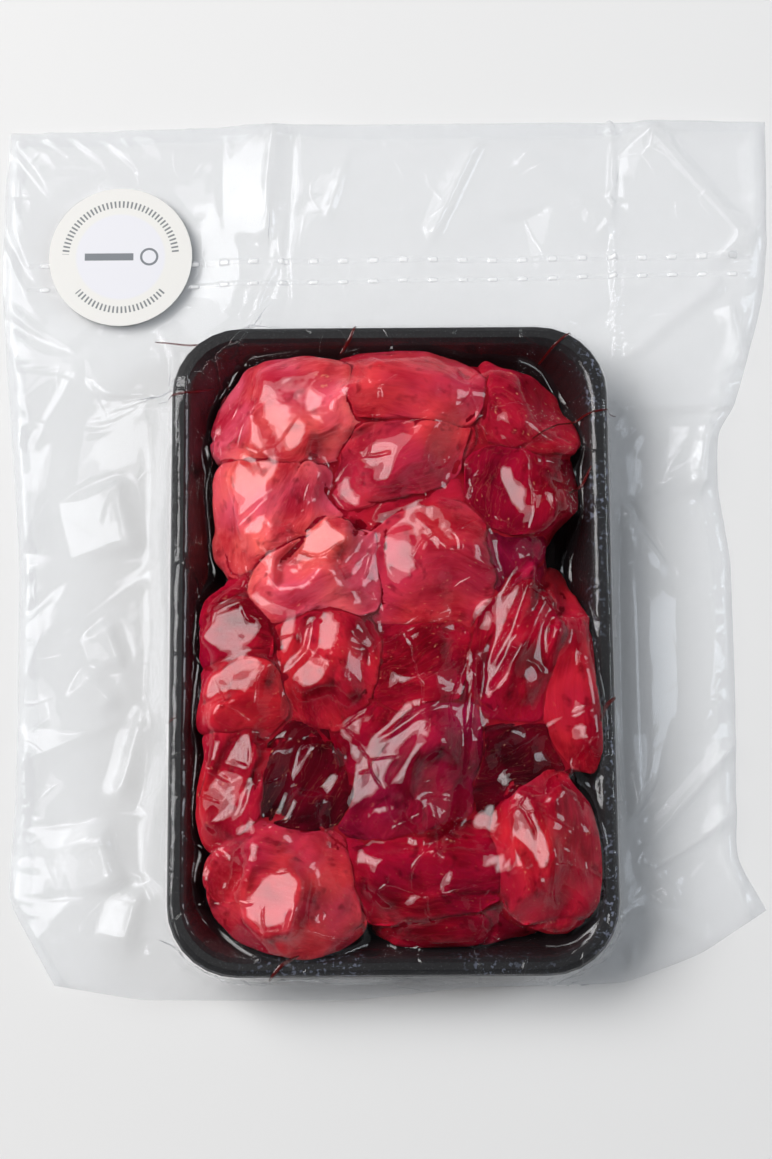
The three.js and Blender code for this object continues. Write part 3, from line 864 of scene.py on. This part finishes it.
def remeshed(mesh, voxel, rounds):
    """The mesh after an even remesh and rounds of smoothing."""
    piece = bpy.data.objects.new("rough", mesh)
    bpy.context.scene.collection.objects.link(piece)
    even = piece.modifiers.new("even", "REMESH")
    even.mode = "VOXEL"
    even.voxel_size = voxel * MM
    soft = piece.modifiers.new("soft", "SMOOTH")
    soft.iterations = rounds
    graph = bpy.context.evaluated_depsgraph_get()
    result = bpy.data.meshes.new_from_object(piece.evaluated_get(graph))
    bpy.data.objects.remove(piece)
    return result


def evened(values, edges, rounds):
    """Values of the points, evened out along the edges."""
    count = np.bincount(edges.ravel(), minlength=len(values))
    for _ in range(rounds):
        total = np.bincount(edges[:, 0], values[edges[:, 1]], len(values))
        total += np.bincount(edges[:, 1], values[edges[:, 0]], len(values))
        values = (values + total / count) / 2
    return values


def search_shape(points, faces):
    """A tree of a surface and the two corners of its box, for searches."""
    return BVHTree.FromPolygons(points.tolist(), faces), points.min(axis=0), points.max(axis=0)


def nearer(shape, points, limits):
    """How near each point is to a surface, where that is nearer than the limit it has now."""
    tree, low, high = shape
    near = limits.copy()
    inside = np.all((points > low - PRESS_REACH) & (points < high + PRESS_REACH), axis=1)
    for index in np.flatnonzero(inside):
        distance = tree.find_nearest(points[index].tolist(), near[index])[3]
        if distance is not None:
            near[index] = distance
    return near


def press_growth(points, normals, edges, near, wall, gap):
    """How far each point of a piece swells in one round, from the room that it has and its own eagerness."""
    room = np.minimum(near / 2 - gap / 2, wall - TRAY_GAP)
    eager = PRESS_EAGER[0] + PRESS_EAGER[1] * noise_at(points / PRESS_PATCH, 41)
    wish = PRESS_STEP * eager * (1 - smooth_step((near - 1) / (PRESS_REACH - 1)))
    wish *= 1 - PRESS_SPARED * np.maximum(normals[:, 2], 0)
    growth = evened(np.clip(np.minimum(room, wish), 0, None), edges, 2)
    return np.clip(np.minimum(growth, room), 0, None)


def press_together(meshes):
    """The pieces swell towards their neighbours until hardly any gap or valley is left between them."""
    faces = [mesh_faces(mesh) for mesh in meshes]
    edges = [mesh_edges(mesh) for mesh in meshes]
    tray = frame["nodes"]["tray"].data
    tray_shape = search_shape(own_points(tray), mesh_faces(tray))
    for gap in PRESS_GAPS:
        places = [own_points(mesh) for mesh in meshes]
        shapes = [search_shape(place, face) for place, face in zip(places, faces)]
        for index, mesh in enumerate(meshes):
            points = places[index]
            near = np.full(len(points), PRESS_REACH)
            wall = nearer(tray_shape, points, near)
            for other, shape in enumerate(shapes):
                if other != index:
                    near = nearer(shape, points, near)
            normals = mesh_normals(mesh)
            growth = press_growth(points, normals, edges[index], near, wall, gap)
            set_points(mesh, points + normals * growth[:, None])


def grain_coordinates(points, angle, seed):
    """Places with X along the grain, each piece in a part of space of its own."""
    turn = math.radians(angle)
    along = points[:, 0] * math.cos(turn) + points[:, 1] * math.sin(turn)
    across = points[:, 1] * math.cos(turn) - points[:, 0] * math.sin(turn)
    return np.column_stack([along + 211.0 * seed, across + 97.0 * seed, points[:, 2]])


def knife_cut(points, seed):
    """The points, with what stands beyond a few seeded planes pushed back on them."""
    random = np.random.default_rng(seed)
    middle = points.mean(axis=0)
    for _ in range(KNIFE_CUTS):
        around = random.uniform(0, 2 * math.pi)
        height = random.uniform(0.45, 0.97)
        level = math.sqrt(1 - height ** 2)
        normal = np.array([level * math.cos(around), level * math.sin(around), height])
        reach = (points - middle) @ normal
        beyond = np.maximum(reach - reach.max() + random.uniform(*KNIFE_DEPTH), 0)
        points = points - 0.9 * beyond[:, None] * normal
    return points


def flesh_relief(grain, seed):
    """Height of the flesh: soft swellings, lumps, fibres and the seams between muscles."""
    swell = 0.5 * noise_at(grain / 15.0, seed)
    lumps = 0.18 * noise_at(grain / 6.0, seed + 100)
    fibres = 0.08 * noise_at(grain / (16.0, 2.4, 2.4), seed + 200)
    seam = np.abs(noise_at(grain / (30.0, 16.0, 16.0), seed + 300))
    seams = -1.0 * (1 - smooth_step(seam / 0.10))
    return 0.4 + swell + lumps + fibres + seams


def jostled(points):
    """The points after the whole heap is pushed about, less and less towards the tray's walls and floor."""
    share = smooth_step((-rim_distance(points[:, 0], points[:, 1]) - 6) / 14)
    share = share * smooth_step((points[:, 2] - 6) / 14)
    push = np.zeros(points.shape)
    seeds = iter(range(11, 17))
    for size, strength in HEAP_PUSHES:
        push += strength * np.column_stack([noise_at(points / size, next(seeds)) for _ in range(3)])
    return points + push * share[:, None] * HEAP_PUSH


# Meat: the heap under the vacuum

def crumple():
    """Height of plane faces and the ridges between them, as the film presses them into the flesh."""
    return sum(height * crumpled_grid(size, seed) for seed, (size, height) in enumerate(CRUMPLES, start=34))


def flattened(height, x, y):
    """The height with the plane faces of the heap cut into it."""
    for middle_x, middle_y, length, width, angle, rise_right, rise_far in FLAT_FACES:
        turn = math.radians(angle)
        beside, above = x - middle_x, y - middle_y
        along = np.abs(beside * math.cos(turn) + above * math.sin(turn)) / length
        across = np.abs(above * math.cos(turn) - beside * math.sin(turn)) / width
        away = np.maximum(along + 0.35 * across, across)
        plane = rise_right * beside + rise_far * above
        level = (height - plane)[away < 0.8].mean()
        height = height + smooth_step((1.08 - away) / 0.2) * (plane + level - height)
    return height


def heap_lift(pieces):
    """How far the flesh is lifted at each place of the ground grid, and the skin over the lifted heap."""
    x, y = grid_places()
    top = height_grid(pieces)
    within = -rim_distance(x, y)
    stretched = tight_surface(top, within < 8, np.full(x.shape, HEAP_SAG), 300)
    skin = np.maximum(np.minimum(stretched, blurred(closed_over(top, HEAP_REACH), 5)), top)
    eager = np.clip(HEAP_FILL + 0.25 * noise_grid(x, y, 21.0, 44), 0.4, 1.0)
    fill = np.clip(eager * (skin - top), 0, HEAP_MOST) * (top > 0)
    lift = fill + crumple() * smooth_step((within - 8) / 8)
    lifted = blurred(top + lift, 2)
    cut = flattened(lifted, x, y) - lifted
    lift = blurred(lift + np.clip(cut, -HEAP_MOST, HEAP_MOST) * (top > 0), 1)
    return lift.astype(np.float32), (skin + lift - fill).astype(np.float32)


def lift_flesh(pieces):
    """Fills the valleys between the pieces and gives the heap its ridges; the same warp for all of them."""
    lift, skin = heap_lift(pieces)
    for piece in pieces:
        points = own_points(piece.data)
        share = smooth_step((points[:, 2] - HEAP_LEVELS[0]) / (HEAP_LEVELS[1] - HEAP_LEVELS[0]))
        points[:, 2] += share * sample(lift, points[:, 0], points[:, 1])
        set_points(piece.data, points)
        # How deep each point lies below the skin; the flesh material darkens by it as painted shade of the
        # valleys.
        sunken = sample(skin, points[:, 0], points[:, 1]) - points[:, 2]
        add_attribute(piece.data, "sunken", "FLOAT", sunken)


def seam_juice_material():
    material, shading = new_material("seam_juice")
    cloud = shading.noise(shading.place(), 90.0, detail=2.0)
    shading.surface({
        "Base Color": shading.mix(shading.ramp(cloud, 0.35, 0.65), *SEAM_COLORS),
        "Subsurface Weight": 0.5,
        "Subsurface Radius": (0.0035, 0.0009, 0.0007),
        "Subsurface Scale": 1.0,
        "Specular IOR Level": 0.0,
    })
    return material


def add_seam_juice(pieces):
    """The juice in the seams between the pieces, a little below the heap's skin and hidden elsewhere."""
    tree, owners = heap_tree(pieces)
    top, hit_faces = grid_hits(tree)
    owner = np.where(hit_faces < 0, -1, owners[hit_faces])
    seam = spread_highest(spread_highest(owner) != -spread_highest(-owner), SEAM_REACH)
    level = blurred(closed_over(top, SEAM_REACH), 1) - SEAM_DEPTH
    cells = grid_faces(*level.shape)
    covered = ((level > top - 0.3) & seam).ravel()[cells].any(axis=1)
    on_flesh = top.ravel()[cells].min(axis=1) > HEAP_LEVELS[0]
    kept = cells[covered & on_flesh]
    used, faces = np.unique(kept, return_inverse=True)
    x, y = grid_places()
    points = np.column_stack([x.ravel(), y.ravel(), level.ravel()])[used]
    mesh = smooth_mesh("seam_juice", points, faces.reshape(kept.shape), seam_juice_material())
    new_piece("seam_juice", mesh, "meat_dark")


def flesh_mesh(coarse, angle, marbling, seed):
    """One piece of flesh from its pressed coarse mesh, with its cuts, its relief and its grain."""
    mesh = remeshed(coarse, MEAT_VOXEL, 4)
    points = knife_cut(own_points(mesh), seed)
    set_points(mesh, points)
    grain = grain_coordinates(points, angle, seed)
    set_points(mesh, jostled(points + mesh_normals(mesh) * flesh_relief(grain, seed)[:, None]))
    mesh.shade_smooth()
    add_attribute(mesh, "grain", "FLOAT_VECTOR", grain)
    add_attribute(mesh, "marbling", "FLOAT", np.full(len(points), marbling))
    return mesh


def add_meat():
    materials = {tone: flesh_material(tone) for tone in MEAT_TONES}
    slots = {row["node"]: row["material_slot"] for row in frame["record"]["subparts"]}
    coarse = [remeshed(welded_copy("meat_" + name), PRESS_VOXEL, 3) for name in MEAT_LOOKS]
    press_together(coarse)
    pieces = []
    for seed, (name, (tone, angle, marbling)) in enumerate(MEAT_LOOKS.items(), start=1):
        node = "meat_" + name
        mesh = flesh_mesh(coarse[seed - 1], angle, marbling, seed)
        paint(mesh, materials[tone])
        pieces.append(new_piece("flesh_" + name, mesh, slots[node], node))
    lift_flesh(pieces)
    add_seam_juice(pieces)
    return pieces


# Film: its plan

def even_side(corners, count):
    """Points at equal steps along one side of the sealed edge."""
    corners = np.array(corners, float)
    run = np.concatenate([[0], np.cumsum(np.hypot(*np.diff(corners, axis=0).T))])
    at = np.linspace(0, run[-1], count + 1)
    side = np.column_stack([np.interp(at, run, corners[:, 0]), np.interp(at, run, corners[:, 1])])
    for _ in range(max(count // 8, 1)):
        side[1:-1] = (side[:-2] + 2 * side[1:-1] + side[2:]) / 4
    return side


def sheet_plan(columns, rows):
    """Places of the sheet's grid seen from above, filled in evenly from its four sides."""
    top, bottom = even_side(FILM_TOP, columns), even_side(FILM_BOTTOM, columns)
    left, right = even_side(FILM_LEFT, rows), even_side(FILM_RIGHT, rows)
    u = np.linspace(0, 1, columns + 1)[None, :, None]
    v = np.linspace(0, 1, rows + 1)[:, None, None]
    from_ends = (1 - v) * bottom[None] + v * top[None]
    from_sides = (1 - u) * left[:, None] + u * right[:, None]
    low = (1 - u) * bottom[0] + u * bottom[-1]
    high = (1 - u) * top[0] + u * top[-1]
    return from_ends + from_sides - ((1 - v) * low + v * high)


def evenly_spaced(line):
    """Points at equal steps along a line of points, seen from above."""
    steps = np.sqrt((np.diff(line, axis=0) ** 2).sum(axis=1))
    run = np.concatenate([[0], np.cumsum(steps)])
    at = np.linspace(0, run[-1], len(line))
    return np.column_stack([np.interp(at, run, line[:, 0]), np.interp(at, run, line[:, 1])])


def spread_over(plan, surface):
    """The plan with its points moved, so that the film has even cells on a surface with steep places."""
    for _ in range(2):
        lifted = np.dstack([plan, sample(surface, plan[..., 0], plan[..., 1])])
        plan = np.stack([evenly_spaced(row) for row in lifted])
        lifted = np.dstack([plan, sample(surface, plan[..., 0], plan[..., 1])])
        plan = np.stack([evenly_spaced(lifted[:, column]) for column in range(lifted.shape[1])], axis=1)
    drift = np.dstack([noise_grid(plan[..., 0], plan[..., 1], 48.0, seed) for seed in (21, 22)])
    u = np.linspace(0, 1, plan.shape[1])[None, :]
    v = np.linspace(0, 1, plan.shape[0])[:, None]
    inner = np.minimum(1, 8 * np.minimum(np.minimum(u, 1 - u), np.minimum(v, 1 - v)))
    return plan + FILM_DRIFT * drift * inner[..., None]


# Film: the folds of its flaps and the creases over the heap

def tent_height(x, y):
    """Height of the tent: one plane that falls away from the tray and ends at its foot."""
    within = np.interp(y, *TENT_FOOT) - x
    plane = TENT_SLOPE * (max(TENT_FOOT[1]) - x)
    return np.maximum(plane, 0) * smooth_step(within / 2) * smooth_step((x - TENT_CREST + 3) / 3)


def fold_heights(x, y):
    """Height of the flaps' large folds, each a crest with a plain slope on either side."""
    total = tent_height(x, y)
    for start, end, height, left, right in FOLDS:
        start, end = np.array(start, float), np.array(end, float)
        length = np.hypot(*(end - start))
        run = (end - start) / length
        along = (x - start[0]) * run[0] + (y - start[1]) * run[1]
        over_end = np.maximum(np.maximum(-along, along - length), 0)
        beside = x - start[0] - along * run[0]
        away = np.hypot(beside, y - start[1] - along * run[1])
        slope = np.maximum(1 - away / np.where(beside < 0, left, right), 0)
        total = np.maximum(total, height * slope * np.maximum(1 - over_end / FOLD_END, 0))
    return total * smooth_step((rim_distance(x, y) - 3) / 7)


def crease_ridges(x, y):
    """Height of the film's tight creases over the heap: thin bent ridges that fade out at both ends."""
    size, bend = CREASE_BEND
    bent_x = x + bend * noise_grid(x, y, size, 62)
    bent_y = y + bend * noise_grid(x, y, size, 63)
    total = np.zeros(x.shape)
    for (start_x, start_y), (end_x, end_y), height, half in TIGHT_CREASES:
        length = math.hypot(end_x - start_x, end_y - start_y)
        run_x, run_y = (end_x - start_x) / length, (end_y - start_y) / length
        along = ((bent_x - start_x) * run_x + (bent_y - start_y) * run_y) / length
        away = np.abs((bent_x - start_x) * run_y - (bent_y - start_y) * run_x)
        fade = smooth_step(4 * np.minimum(along, 1 - along))
        total = np.maximum(total, height * fade * smooth_step(1 - away / half))
    return total.astype(np.float32)


def flap_relief(x, y, outside):
    """Height of folds and dents on the flaps, and what makes their crests sharp."""
    inner = blurred(np.where(outside, 0.0, 1.0), 20)
    loose = smooth_step((rim_distance(x, y) - 4) / 10) * smooth_step(2 * inner - 1)
    size, height = FLAP_CRUMPLE
    folds = fold_heights(x, y)
    dents = loose * height * (crumpled_grid(size, 61) + 1) / 2
    folds += dents * np.maximum(1 - folds / FOLD_OVER_DENTS, 0)
    crisp = (folds - blurred(folds, FLAP_CRISPNESS)) * loose
    return folds, crisp.astype(np.float32)


# Film: its fall

def film_slack(plan):
    """How much longer the film is than its way, across and along, more in some places than in others."""
    x, y = plan[..., 0], plan[..., 1]
    on_tray = smooth_step(-rim_distance(x, y) / 6)
    above = smooth_step((y - TRAY_HALF[1]) / 14)
    uneven = 1 + 0.8 * noise_grid(x, y, 27.0, 23)
    slacks = []
    for tray, beside, top in zip(SLACK_ON_TRAY, SLACK_BESIDE, SLACK_ABOVE):
        loose = beside + (top - beside) * above
        slacks.append((loose + (tray - loose) * on_tray) * uneven)
    return slacks


def edge_lengths(first, second):
    return np.sqrt(((second - first) ** 2).sum(axis=-1))


def rest_lengths(plan, base):
    """Lengths of the flat sheet's edges across, along and diagonally."""
    sheet = np.dstack([plan, base])
    more_across, more_along = film_slack(plan)
    across = edge_lengths(sheet[:, :-1], sheet[:, 1:]) * (1 + more_across[:, :-1])
    along = edge_lengths(sheet[:-1], sheet[1:]) * (1 + more_along[:-1])
    more = 1 + (more_across + more_along)[:-1, :-1] / 2
    rising = edge_lengths(sheet[:-1, :-1], sheet[1:, 1:]) * more
    falling = edge_lengths(sheet[:-1, 1:], sheet[1:, :-1]) * more
    return [lengths.astype(np.float32) for lengths in (across, along, rising, falling)]


def pull_edges(first, second, rest):
    """Moves the ends of many edges at once, so that each gets its rest length."""
    gap = second - first
    length = np.sqrt(np.einsum("...k,...k->...", gap, gap)) + 1e-9
    gap *= ((length - rest) / length * 0.5)[..., None]
    first += gap
    second -= gap


def pull_all(sheet, rest_across, rest_along, rest_rising, rest_falling):
    """One sweep over all edges of the grid, in groups that share no point."""
    rows, columns = sheet.shape[:2]
    for start in (0, 1):
        stop = start + (columns - start) // 2 * 2
        pull_edges(sheet[:, start:stop:2], sheet[:, start + 1:stop:2], rest_across[:, start:stop:2])
    for start in (0, 1):
        stop = start + (rows - start) // 2 * 2
        lower, upper = sheet[start:stop:2], sheet[start + 1:stop:2]
        pull_edges(lower, upper, rest_along[start:stop:2])
        pull_edges(lower[:, :-1], upper[:, 1:], rest_rising[start:stop:2])
        pull_edges(lower[:, 1:], upper[:, :-1], rest_falling[start:stop:2])


def even_out(sheet, rate, limit):
    """Evens the sheet out, least where it is creased."""
    inner = sheet[1:-1, 1:-1]
    bend = neighbour_sum(sheet) / 4 - inner
    size = np.einsum("...k,...k->...", bend, bend)
    inner += bend * (rate / (1 + size / limit ** 2))[..., None]


def hold_edge(sheet, plan):
    for side in (np.s_[0], np.s_[-1], np.s_[:, 0], np.s_[:, -1]):
        sheet[side][..., :2] = plan[side]
        sheet[side][..., 2] = np.clip(sheet[side][..., 2], TABLE_CLEARANCE, 3.0)


def lay_under_label(sheet):
    """Keeps the film flat and low under the label, and lets it rise slowly round it."""
    away = np.hypot(sheet[..., 0] - LABEL_AT[0], sheet[..., 1] - LABEL_AT[1]) - LABEL_RADIUS - LABEL_FLAT
    slack = np.maximum(away, 0) * LABEL_SLOPE
    sheet[..., 2] = np.minimum(sheet[..., 2], LABEL_FILM_Z[1] + slack + np.where(away > 25, 90, 0))
    sheet[..., 2] = np.maximum(sheet[..., 2], LABEL_FILM_Z[0] - slack)


def settle(sheet, plan, ground, base, fall):
    """Lets the sheet fall on the ground for one round."""
    factor, steps, sweeps, pull, hold, rate, limit, _ = fall
    cell = FILM_CELL * factor
    rests = rest_lengths(plan, base)
    loose = np.clip(rim_distance(plan[..., 0], plan[..., 1]) / 6, 0, 1).astype(np.float32)
    last = sheet.copy()
    for _ in range(steps):
        move = (sheet - last) * np.float32(FILM_DAMPING)
        last = sheet.copy()
        sheet += move
        sheet[..., 2] -= np.float32(pull) * (1 - loose)
        sheet[..., 2] += np.float32(hold) * loose * (base - sheet[..., 2])
        for sweep in range(sweeps):
            pull_all(sheet, *rests)
            even_out(sheet, np.float32(rate), np.float32(limit * cell))
            hold_edge(sheet, plan)
            if sweep % 2 == 1:
                sheet[..., 2] = np.maximum(sheet[..., 2], sample(ground, sheet[..., 0], sheet[..., 1]))
                lay_under_label(sheet)
    return sheet


def finer(sheet):
    """The same sheet with twice as many cells each way."""
    rows, columns = sheet.shape[:2]
    fine = np.empty((2 * rows - 1, 2 * columns - 1, 3), np.float32)
    fine[::2, ::2] = sheet
    fine[1::2, ::2] = (sheet[1:] + sheet[:-1]) / 2
    fine[:, 1::2] = (fine[:, 2::2] + fine[:, :-2:2]) / 2
    return fine


def fallen_sheet(ground, tight):
    """The sheet after its rounds of falling, from a tight surface down on the ground."""
    random = np.random.default_rng(3)
    sheet = None
    full_plan = spread_over(sheet_plan(*FILM_CELLS), tight).astype(np.float32)
    for fall in FILM_ROUNDS:
        factor, disturbance = fall[0], fall[-1]
        plan = full_plan[::factor, ::factor]
        base = sample(tight, plan[..., 0], plan[..., 1])
        if sheet is None:
            sheet = np.dstack([plan, base]).astype(np.float32)
        else:
            sheet = finer(sheet)
        sheet[..., 2] += disturbance * random.standard_normal(sheet.shape[:2]).astype(np.float32)
        sheet = settle(sheet, plan, ground, base, fall)
    return sheet


def evened_on_tray(sheet):
    even = sheet.copy()
    for _ in range(FILM_SMOOTHING):
        even_out(even, 0.35, 1e6)
    on_tray = smooth_step((2 - rim_distance(sheet[..., 0], sheet[..., 1])) / 4)
    return sheet + (even - sheet) * on_tray[..., None]


def film_sheet(pieces):
    """The film's grid of points, settled on the meat, the tray and the table."""
    x, y = grid_places()
    beyond = rim_distance(x, y)
    solid = spread_highest(height_grid(pieces + [frame["nodes"]["tray"]])) + FILM_CLEARANCE
    skirt = height_grid([frame["nodes"]["bag"]])
    outside = (skirt == 0) & (beyond > 5)
    flap = np.minimum(blurred(np.where(skirt > 0.6, skirt + 0.3, 1.4), 4) - 0.5, FLAP_LEVEL)
    over_tray = beyond < 0.8
    ground = np.where(over_tray, solid, TABLE_CLEARANCE).astype(np.float32)
    low = np.where(over_tray, solid, np.where(beyond > 3, flap, TABLE_CLEARANCE))
    folds, crisp = flap_relief(x, y, outside)
    tight = tight_surface(low, outside, np.where(beyond < 0, PRESS_ON_TRAY, PRESS_BESIDE))
    tight = (tight + blurred(folds, 1)).astype(np.float32)
    sheet = evened_on_tray(fallen_sheet(ground, tight))
    sheet[..., 2] += crease_ridges(sheet[..., 0], sheet[..., 1]) + sample(crisp, sheet[..., 0], sheet[..., 1])
    sheet[..., 2] = np.maximum(sheet[..., 2], TABLE_CLEARANCE)
    lay_under_label(sheet)
    return sheet


# Film: its material and its pieces

def crease_height(shading):
    """Fine waves, and fine creases at the borders of bent cells, where a noise lets them show."""
    place = shading.place()
    bend = shading.nodes.new("ShaderNodeTexNoise")
    bend.noise_dimensions = "2D"
    bend.inputs["Scale"].default_value = BEND_SCALE
    bend.inputs["Detail"].default_value = 1.0
    shading.feed(bend.inputs["Vector"], place)
    bent = shading.nodes.new("ShaderNodeVectorMath")
    bent.operation = "MULTIPLY_ADD"
    for socket, value in zip(bent.inputs, (bend.outputs["Color"], (BEND_SIZE, BEND_SIZE, 0.0), place)):
        shading.feed(socket, value)
    cells = shading.nodes.new("ShaderNodeTexVoronoi")
    cells.voronoi_dimensions = "2D"
    cells.feature = "DISTANCE_TO_EDGE"
    cells.inputs["Scale"].default_value = CREASE_SCALE
    shading.feed(cells.inputs["Vector"], bent.outputs[0])
    waves = shading.times(shading.noise(bent.outputs[0], WAVE_SCALE, detail=2.0), WAVE_HEIGHT)
    crest = shading.ramp(cells.outputs["Distance"], CREASE_WIDTH, 0.0)
    shown = shading.ramp(bend.outputs["Fac"], *CREASE_SHOWN)
    return shading.math("MULTIPLY_ADD", shading.times(crest, shown), CREASE_HEIGHT, waves)


def seal_lines(shading):
    """Height of the two ribs of the sealed band, with teeth along each rib."""
    right, up, _ = shading.own_parts()
    teeth = shading.math("PINGPONG", right, SEAL_PITCH / 2)
    tooth = shading.ramp(teeth, 0.30 * SEAL_PITCH, 0.42 * SEAL_PITCH)
    ribs = 0.0
    for level, rise, half in SEAL_RIBS:
        away = shading.away(up, shading.math("MULTIPLY_ADD", right, rise, level))
        ribs = shading.most(shading.ramp(away, half, 0.2 * half), ribs)
    inside = shading.math("LESS_THAN", shading.away(right, 0.0), SEAL_END)
    return shading.times(ribs, inside, shading.fade(tooth, 0.25, 1.0))


def film_material(name, upper):
    """Clear film: its mirror share grows towards grazing views, and the rest lets all light through."""
    material, shading = new_material(name)
    tight = shading.attribute("tight")
    weight = shading.nodes.new("ShaderNodeLayerWeight")
    weight.inputs["Blend"].default_value = 0.5
    slope = shading.math("POWER", weight.outputs["Facing"], 4.0)
    mirror = shading.math("MULTIPLY_ADD", slope, GRAZING_SHINE, FILM_SHINE)
    shine = shading.times(mirror, shading.fade(tight, SHINE_BESIDE, 1.0))
    haze = shading.fade(tight, HAZE_BESIDE, 0.0)
    haze = shading.math("MULTIPLY_ADD", shading.attribute("weld"), HAZE_OF_SEAM, haze)
    color = shading.mix(tight, FLAP_COLOR, TIGHT_COLOR)
    if upper:
        rib = seal_lines(shading)
        fine = shading.times(crease_height(shading), shading.fade(tight, CREASED_BESIDE, 1.0))
        height = shading.math("MULTIPLY_ADD", rib, SEAL_HEIGHT, fine)
        haze = shading.math("MULTIPLY_ADD", rib, HAZE_OF_RIB, haze)
        color = shading.mix(rib, color, RIB_COLOR)
        shading.surface({"Normal": shading.bump(height, MM)})
    alpha = shading.math("ADD", shine, haze)
    shading.surface({
        "Base Color": color,
        "Alpha": alpha,
        "Metallic": shading.math("DIVIDE", shine, alpha),
        "Roughness": 0.07,
        "Specular IOR Level": 0.0,
    })
    return material


def edge_distance(shape, cell):
    """Distance of each point of a grid to its left and right sides and its top."""
    row, column = np.indices(shape)
    return np.minimum(np.minimum(column, shape[1] - 1 - column), shape[0] - 1 - row) * cell


def film_piece(name, sheet, faces, material, *nodes):
    mesh = smooth_mesh(name, sheet.reshape(-1, 3), faces, material)
    to_edge = edge_distance(sheet.shape[:2], FILM_CELL * (FILM_CELLS[0] + 1) / sheet.shape[1])
    add_attribute(mesh, "weld", "FLOAT", smooth_step((SIDE_SEAM - to_edge) / 1.2))
    add_attribute(mesh, "tight", "FLOAT", smooth_step((4 - rim_distance(sheet[..., 0], sheet[..., 1])) / 6))
    film = new_piece(name, mesh, "bag_film", *nodes)
    film.visible_shadow = False
    return film


def under_sheet(top):
    """The lower film: flatter than the upper one, a little apart from it, and joined to it at the edges."""
    sheet = top[::2, ::2].copy()
    x, y, z = sheet[..., 0], sheet[..., 1], sheet[..., 2]
    height, size = UNDER_WAVES
    share = 0.3 + 0.3 * noise_grid(x, y, 31.0, 51)
    waves = height * sample(crumpled_grid(size, 52), x, y)
    apart = smooth_step(edge_distance(x.shape, 2 * FILM_CELL) / 14)
    level = TABLE_CLEARANCE / 2 + np.maximum(z - TABLE_CLEARANCE, 0) * share - waves
    level = z - 0.15 - (z - 0.15 - level) * apart
    sheet[..., 2] = np.clip(level, TABLE_CLEARANCE / 2, np.maximum(z - 0.15, TABLE_CLEARANCE / 2))
    return sheet


def add_film(pieces):
    sheet = film_sheet(pieces)
    upper = film_material("clear_film", True)
    film = film_piece("film_top", sheet, grid_faces(*sheet.shape[:2]), upper, "bag")
    under = under_sheet(sheet)
    faces = grid_faces(*under.shape[:2])
    beyond = rim_distance(under[..., 0], under[..., 1]).ravel()
    faces = faces[beyond[faces].min(axis=1) > 1.5]
    film_piece("film_under", under, faces, film_material("clear_film_under", False))
    return film


# Juice, and painted shadow along the folds

def streak(tree, places, width):
    """A thin tapered ribbon over the film: its rows of points, five to a row."""
    places = np.array(places, float)
    run = np.concatenate([[0], np.cumsum(np.hypot(*np.diff(places, axis=0).T))])
    at = np.linspace(0, run[-1], int(run[-1] / STREAK_STEP) + 2)
    path = np.column_stack([np.interp(at, run, places[:, 0]), np.interp(at, run, places[:, 1])])
    for _ in range(6):
        path[1:-1] = (path[:-2] + 2 * path[1:-1] + path[2:]) / 4
    along = np.gradient(path, axis=0)
    across = np.column_stack([-along[:, 1], along[:, 0]]) / np.hypot(*along.T)[:, None]
    taper = np.sin(np.pi * np.linspace(0.08, 0.96, len(path))) ** 0.5
    rows = []
    for middle, side, size in zip(path, across, taper * width / 2):
        for share in STREAK_SHARES:
            x, y = middle + side * size * share
            hit = hit_below(tree, x, y)[0]
            level = hit.z if hit is not None else TABLE_CLEARANCE
            rows.append((x, y, level + 0.05 + 0.35 * size * (1 - share ** 2)))
    return rows


def add_juice_and_fold_shade(film):
    tree = heap_tree([film])[0]
    points, faces = [], []
    for places, width in STREAKS:
        rows = streak(tree, places, width)
        faces.append(grid_faces(len(rows) // len(STREAK_SHARES), len(STREAK_SHARES)) + len(points))
        points += rows
    # The streaks are dark: partly juice, partly painted shadow along the folds.
    material, shading = new_material("juice")
    shading.surface({"Base Color": STREAK_COLOR, "Roughness": 0.2, "Alpha": 0.85})
    mesh = smooth_mesh("juice_and_fold_shade_streaks", points, np.concatenate(faces), material)
    new_piece("juice_and_fold_shade_streaks", mesh, "bag_film")


# Label

def tick_marks(shading, away, turn):
    """Short ticks in two arcs near the label's edge."""
    along = shading.math("FRACT", shading.times(turn, LABEL_TICKS / (2 * math.pi)))
    tick = shading.between(along, 0.2, 0.62)
    band = shading.between(away, 18.0, 20.4)
    top_arc = shading.between(turn, math.radians(3), math.radians(177))
    low_arc = shading.between(turn, math.radians(-140), math.radians(-40))
    return shading.times(tick, band, shading.most(top_arc, low_arc))


def label_material():
    """Warm white paper with a cooler disc, two arcs of short ticks and a bar with a small ring."""
    material, shading = new_material("sticker_paper")
    right, up, _ = shading.own_parts(LABEL_AT)
    away = shading.reach(right, up)
    turn = shading.math("ARCTAN2", up, right)
    paper = shading.mix(shading.ramp(away, *LABEL_DISC), (0.835, 0.835, 0.885), (0.855, 0.845, 0.820))
    across, high = LABEL_BAR
    bar = shading.times(shading.between(right, *across), shading.between(up, *high))
    ring_at, ring_in, ring_out = LABEL_RING
    ring = shading.between(shading.reach(shading.minus(right, ring_at), up), ring_in, ring_out)
    marks = shading.most(bar, ring, tick_marks(shading, away, turn))
    color = shading.mix(shading.times(marks, 0.85), paper, (0.10, 0.12, 0.14))
    shading.surface({"Base Color": color, "Roughness": 0.45})
    return material


add_camera()
add_lights()
add_world()
add_floor()
paint(frame["nodes"]["tray"].data, foam_material())
paint(frame["nodes"]["label"].data, label_material())
meat = add_meat()
add_juice_and_fold_shade(add_film(meat))
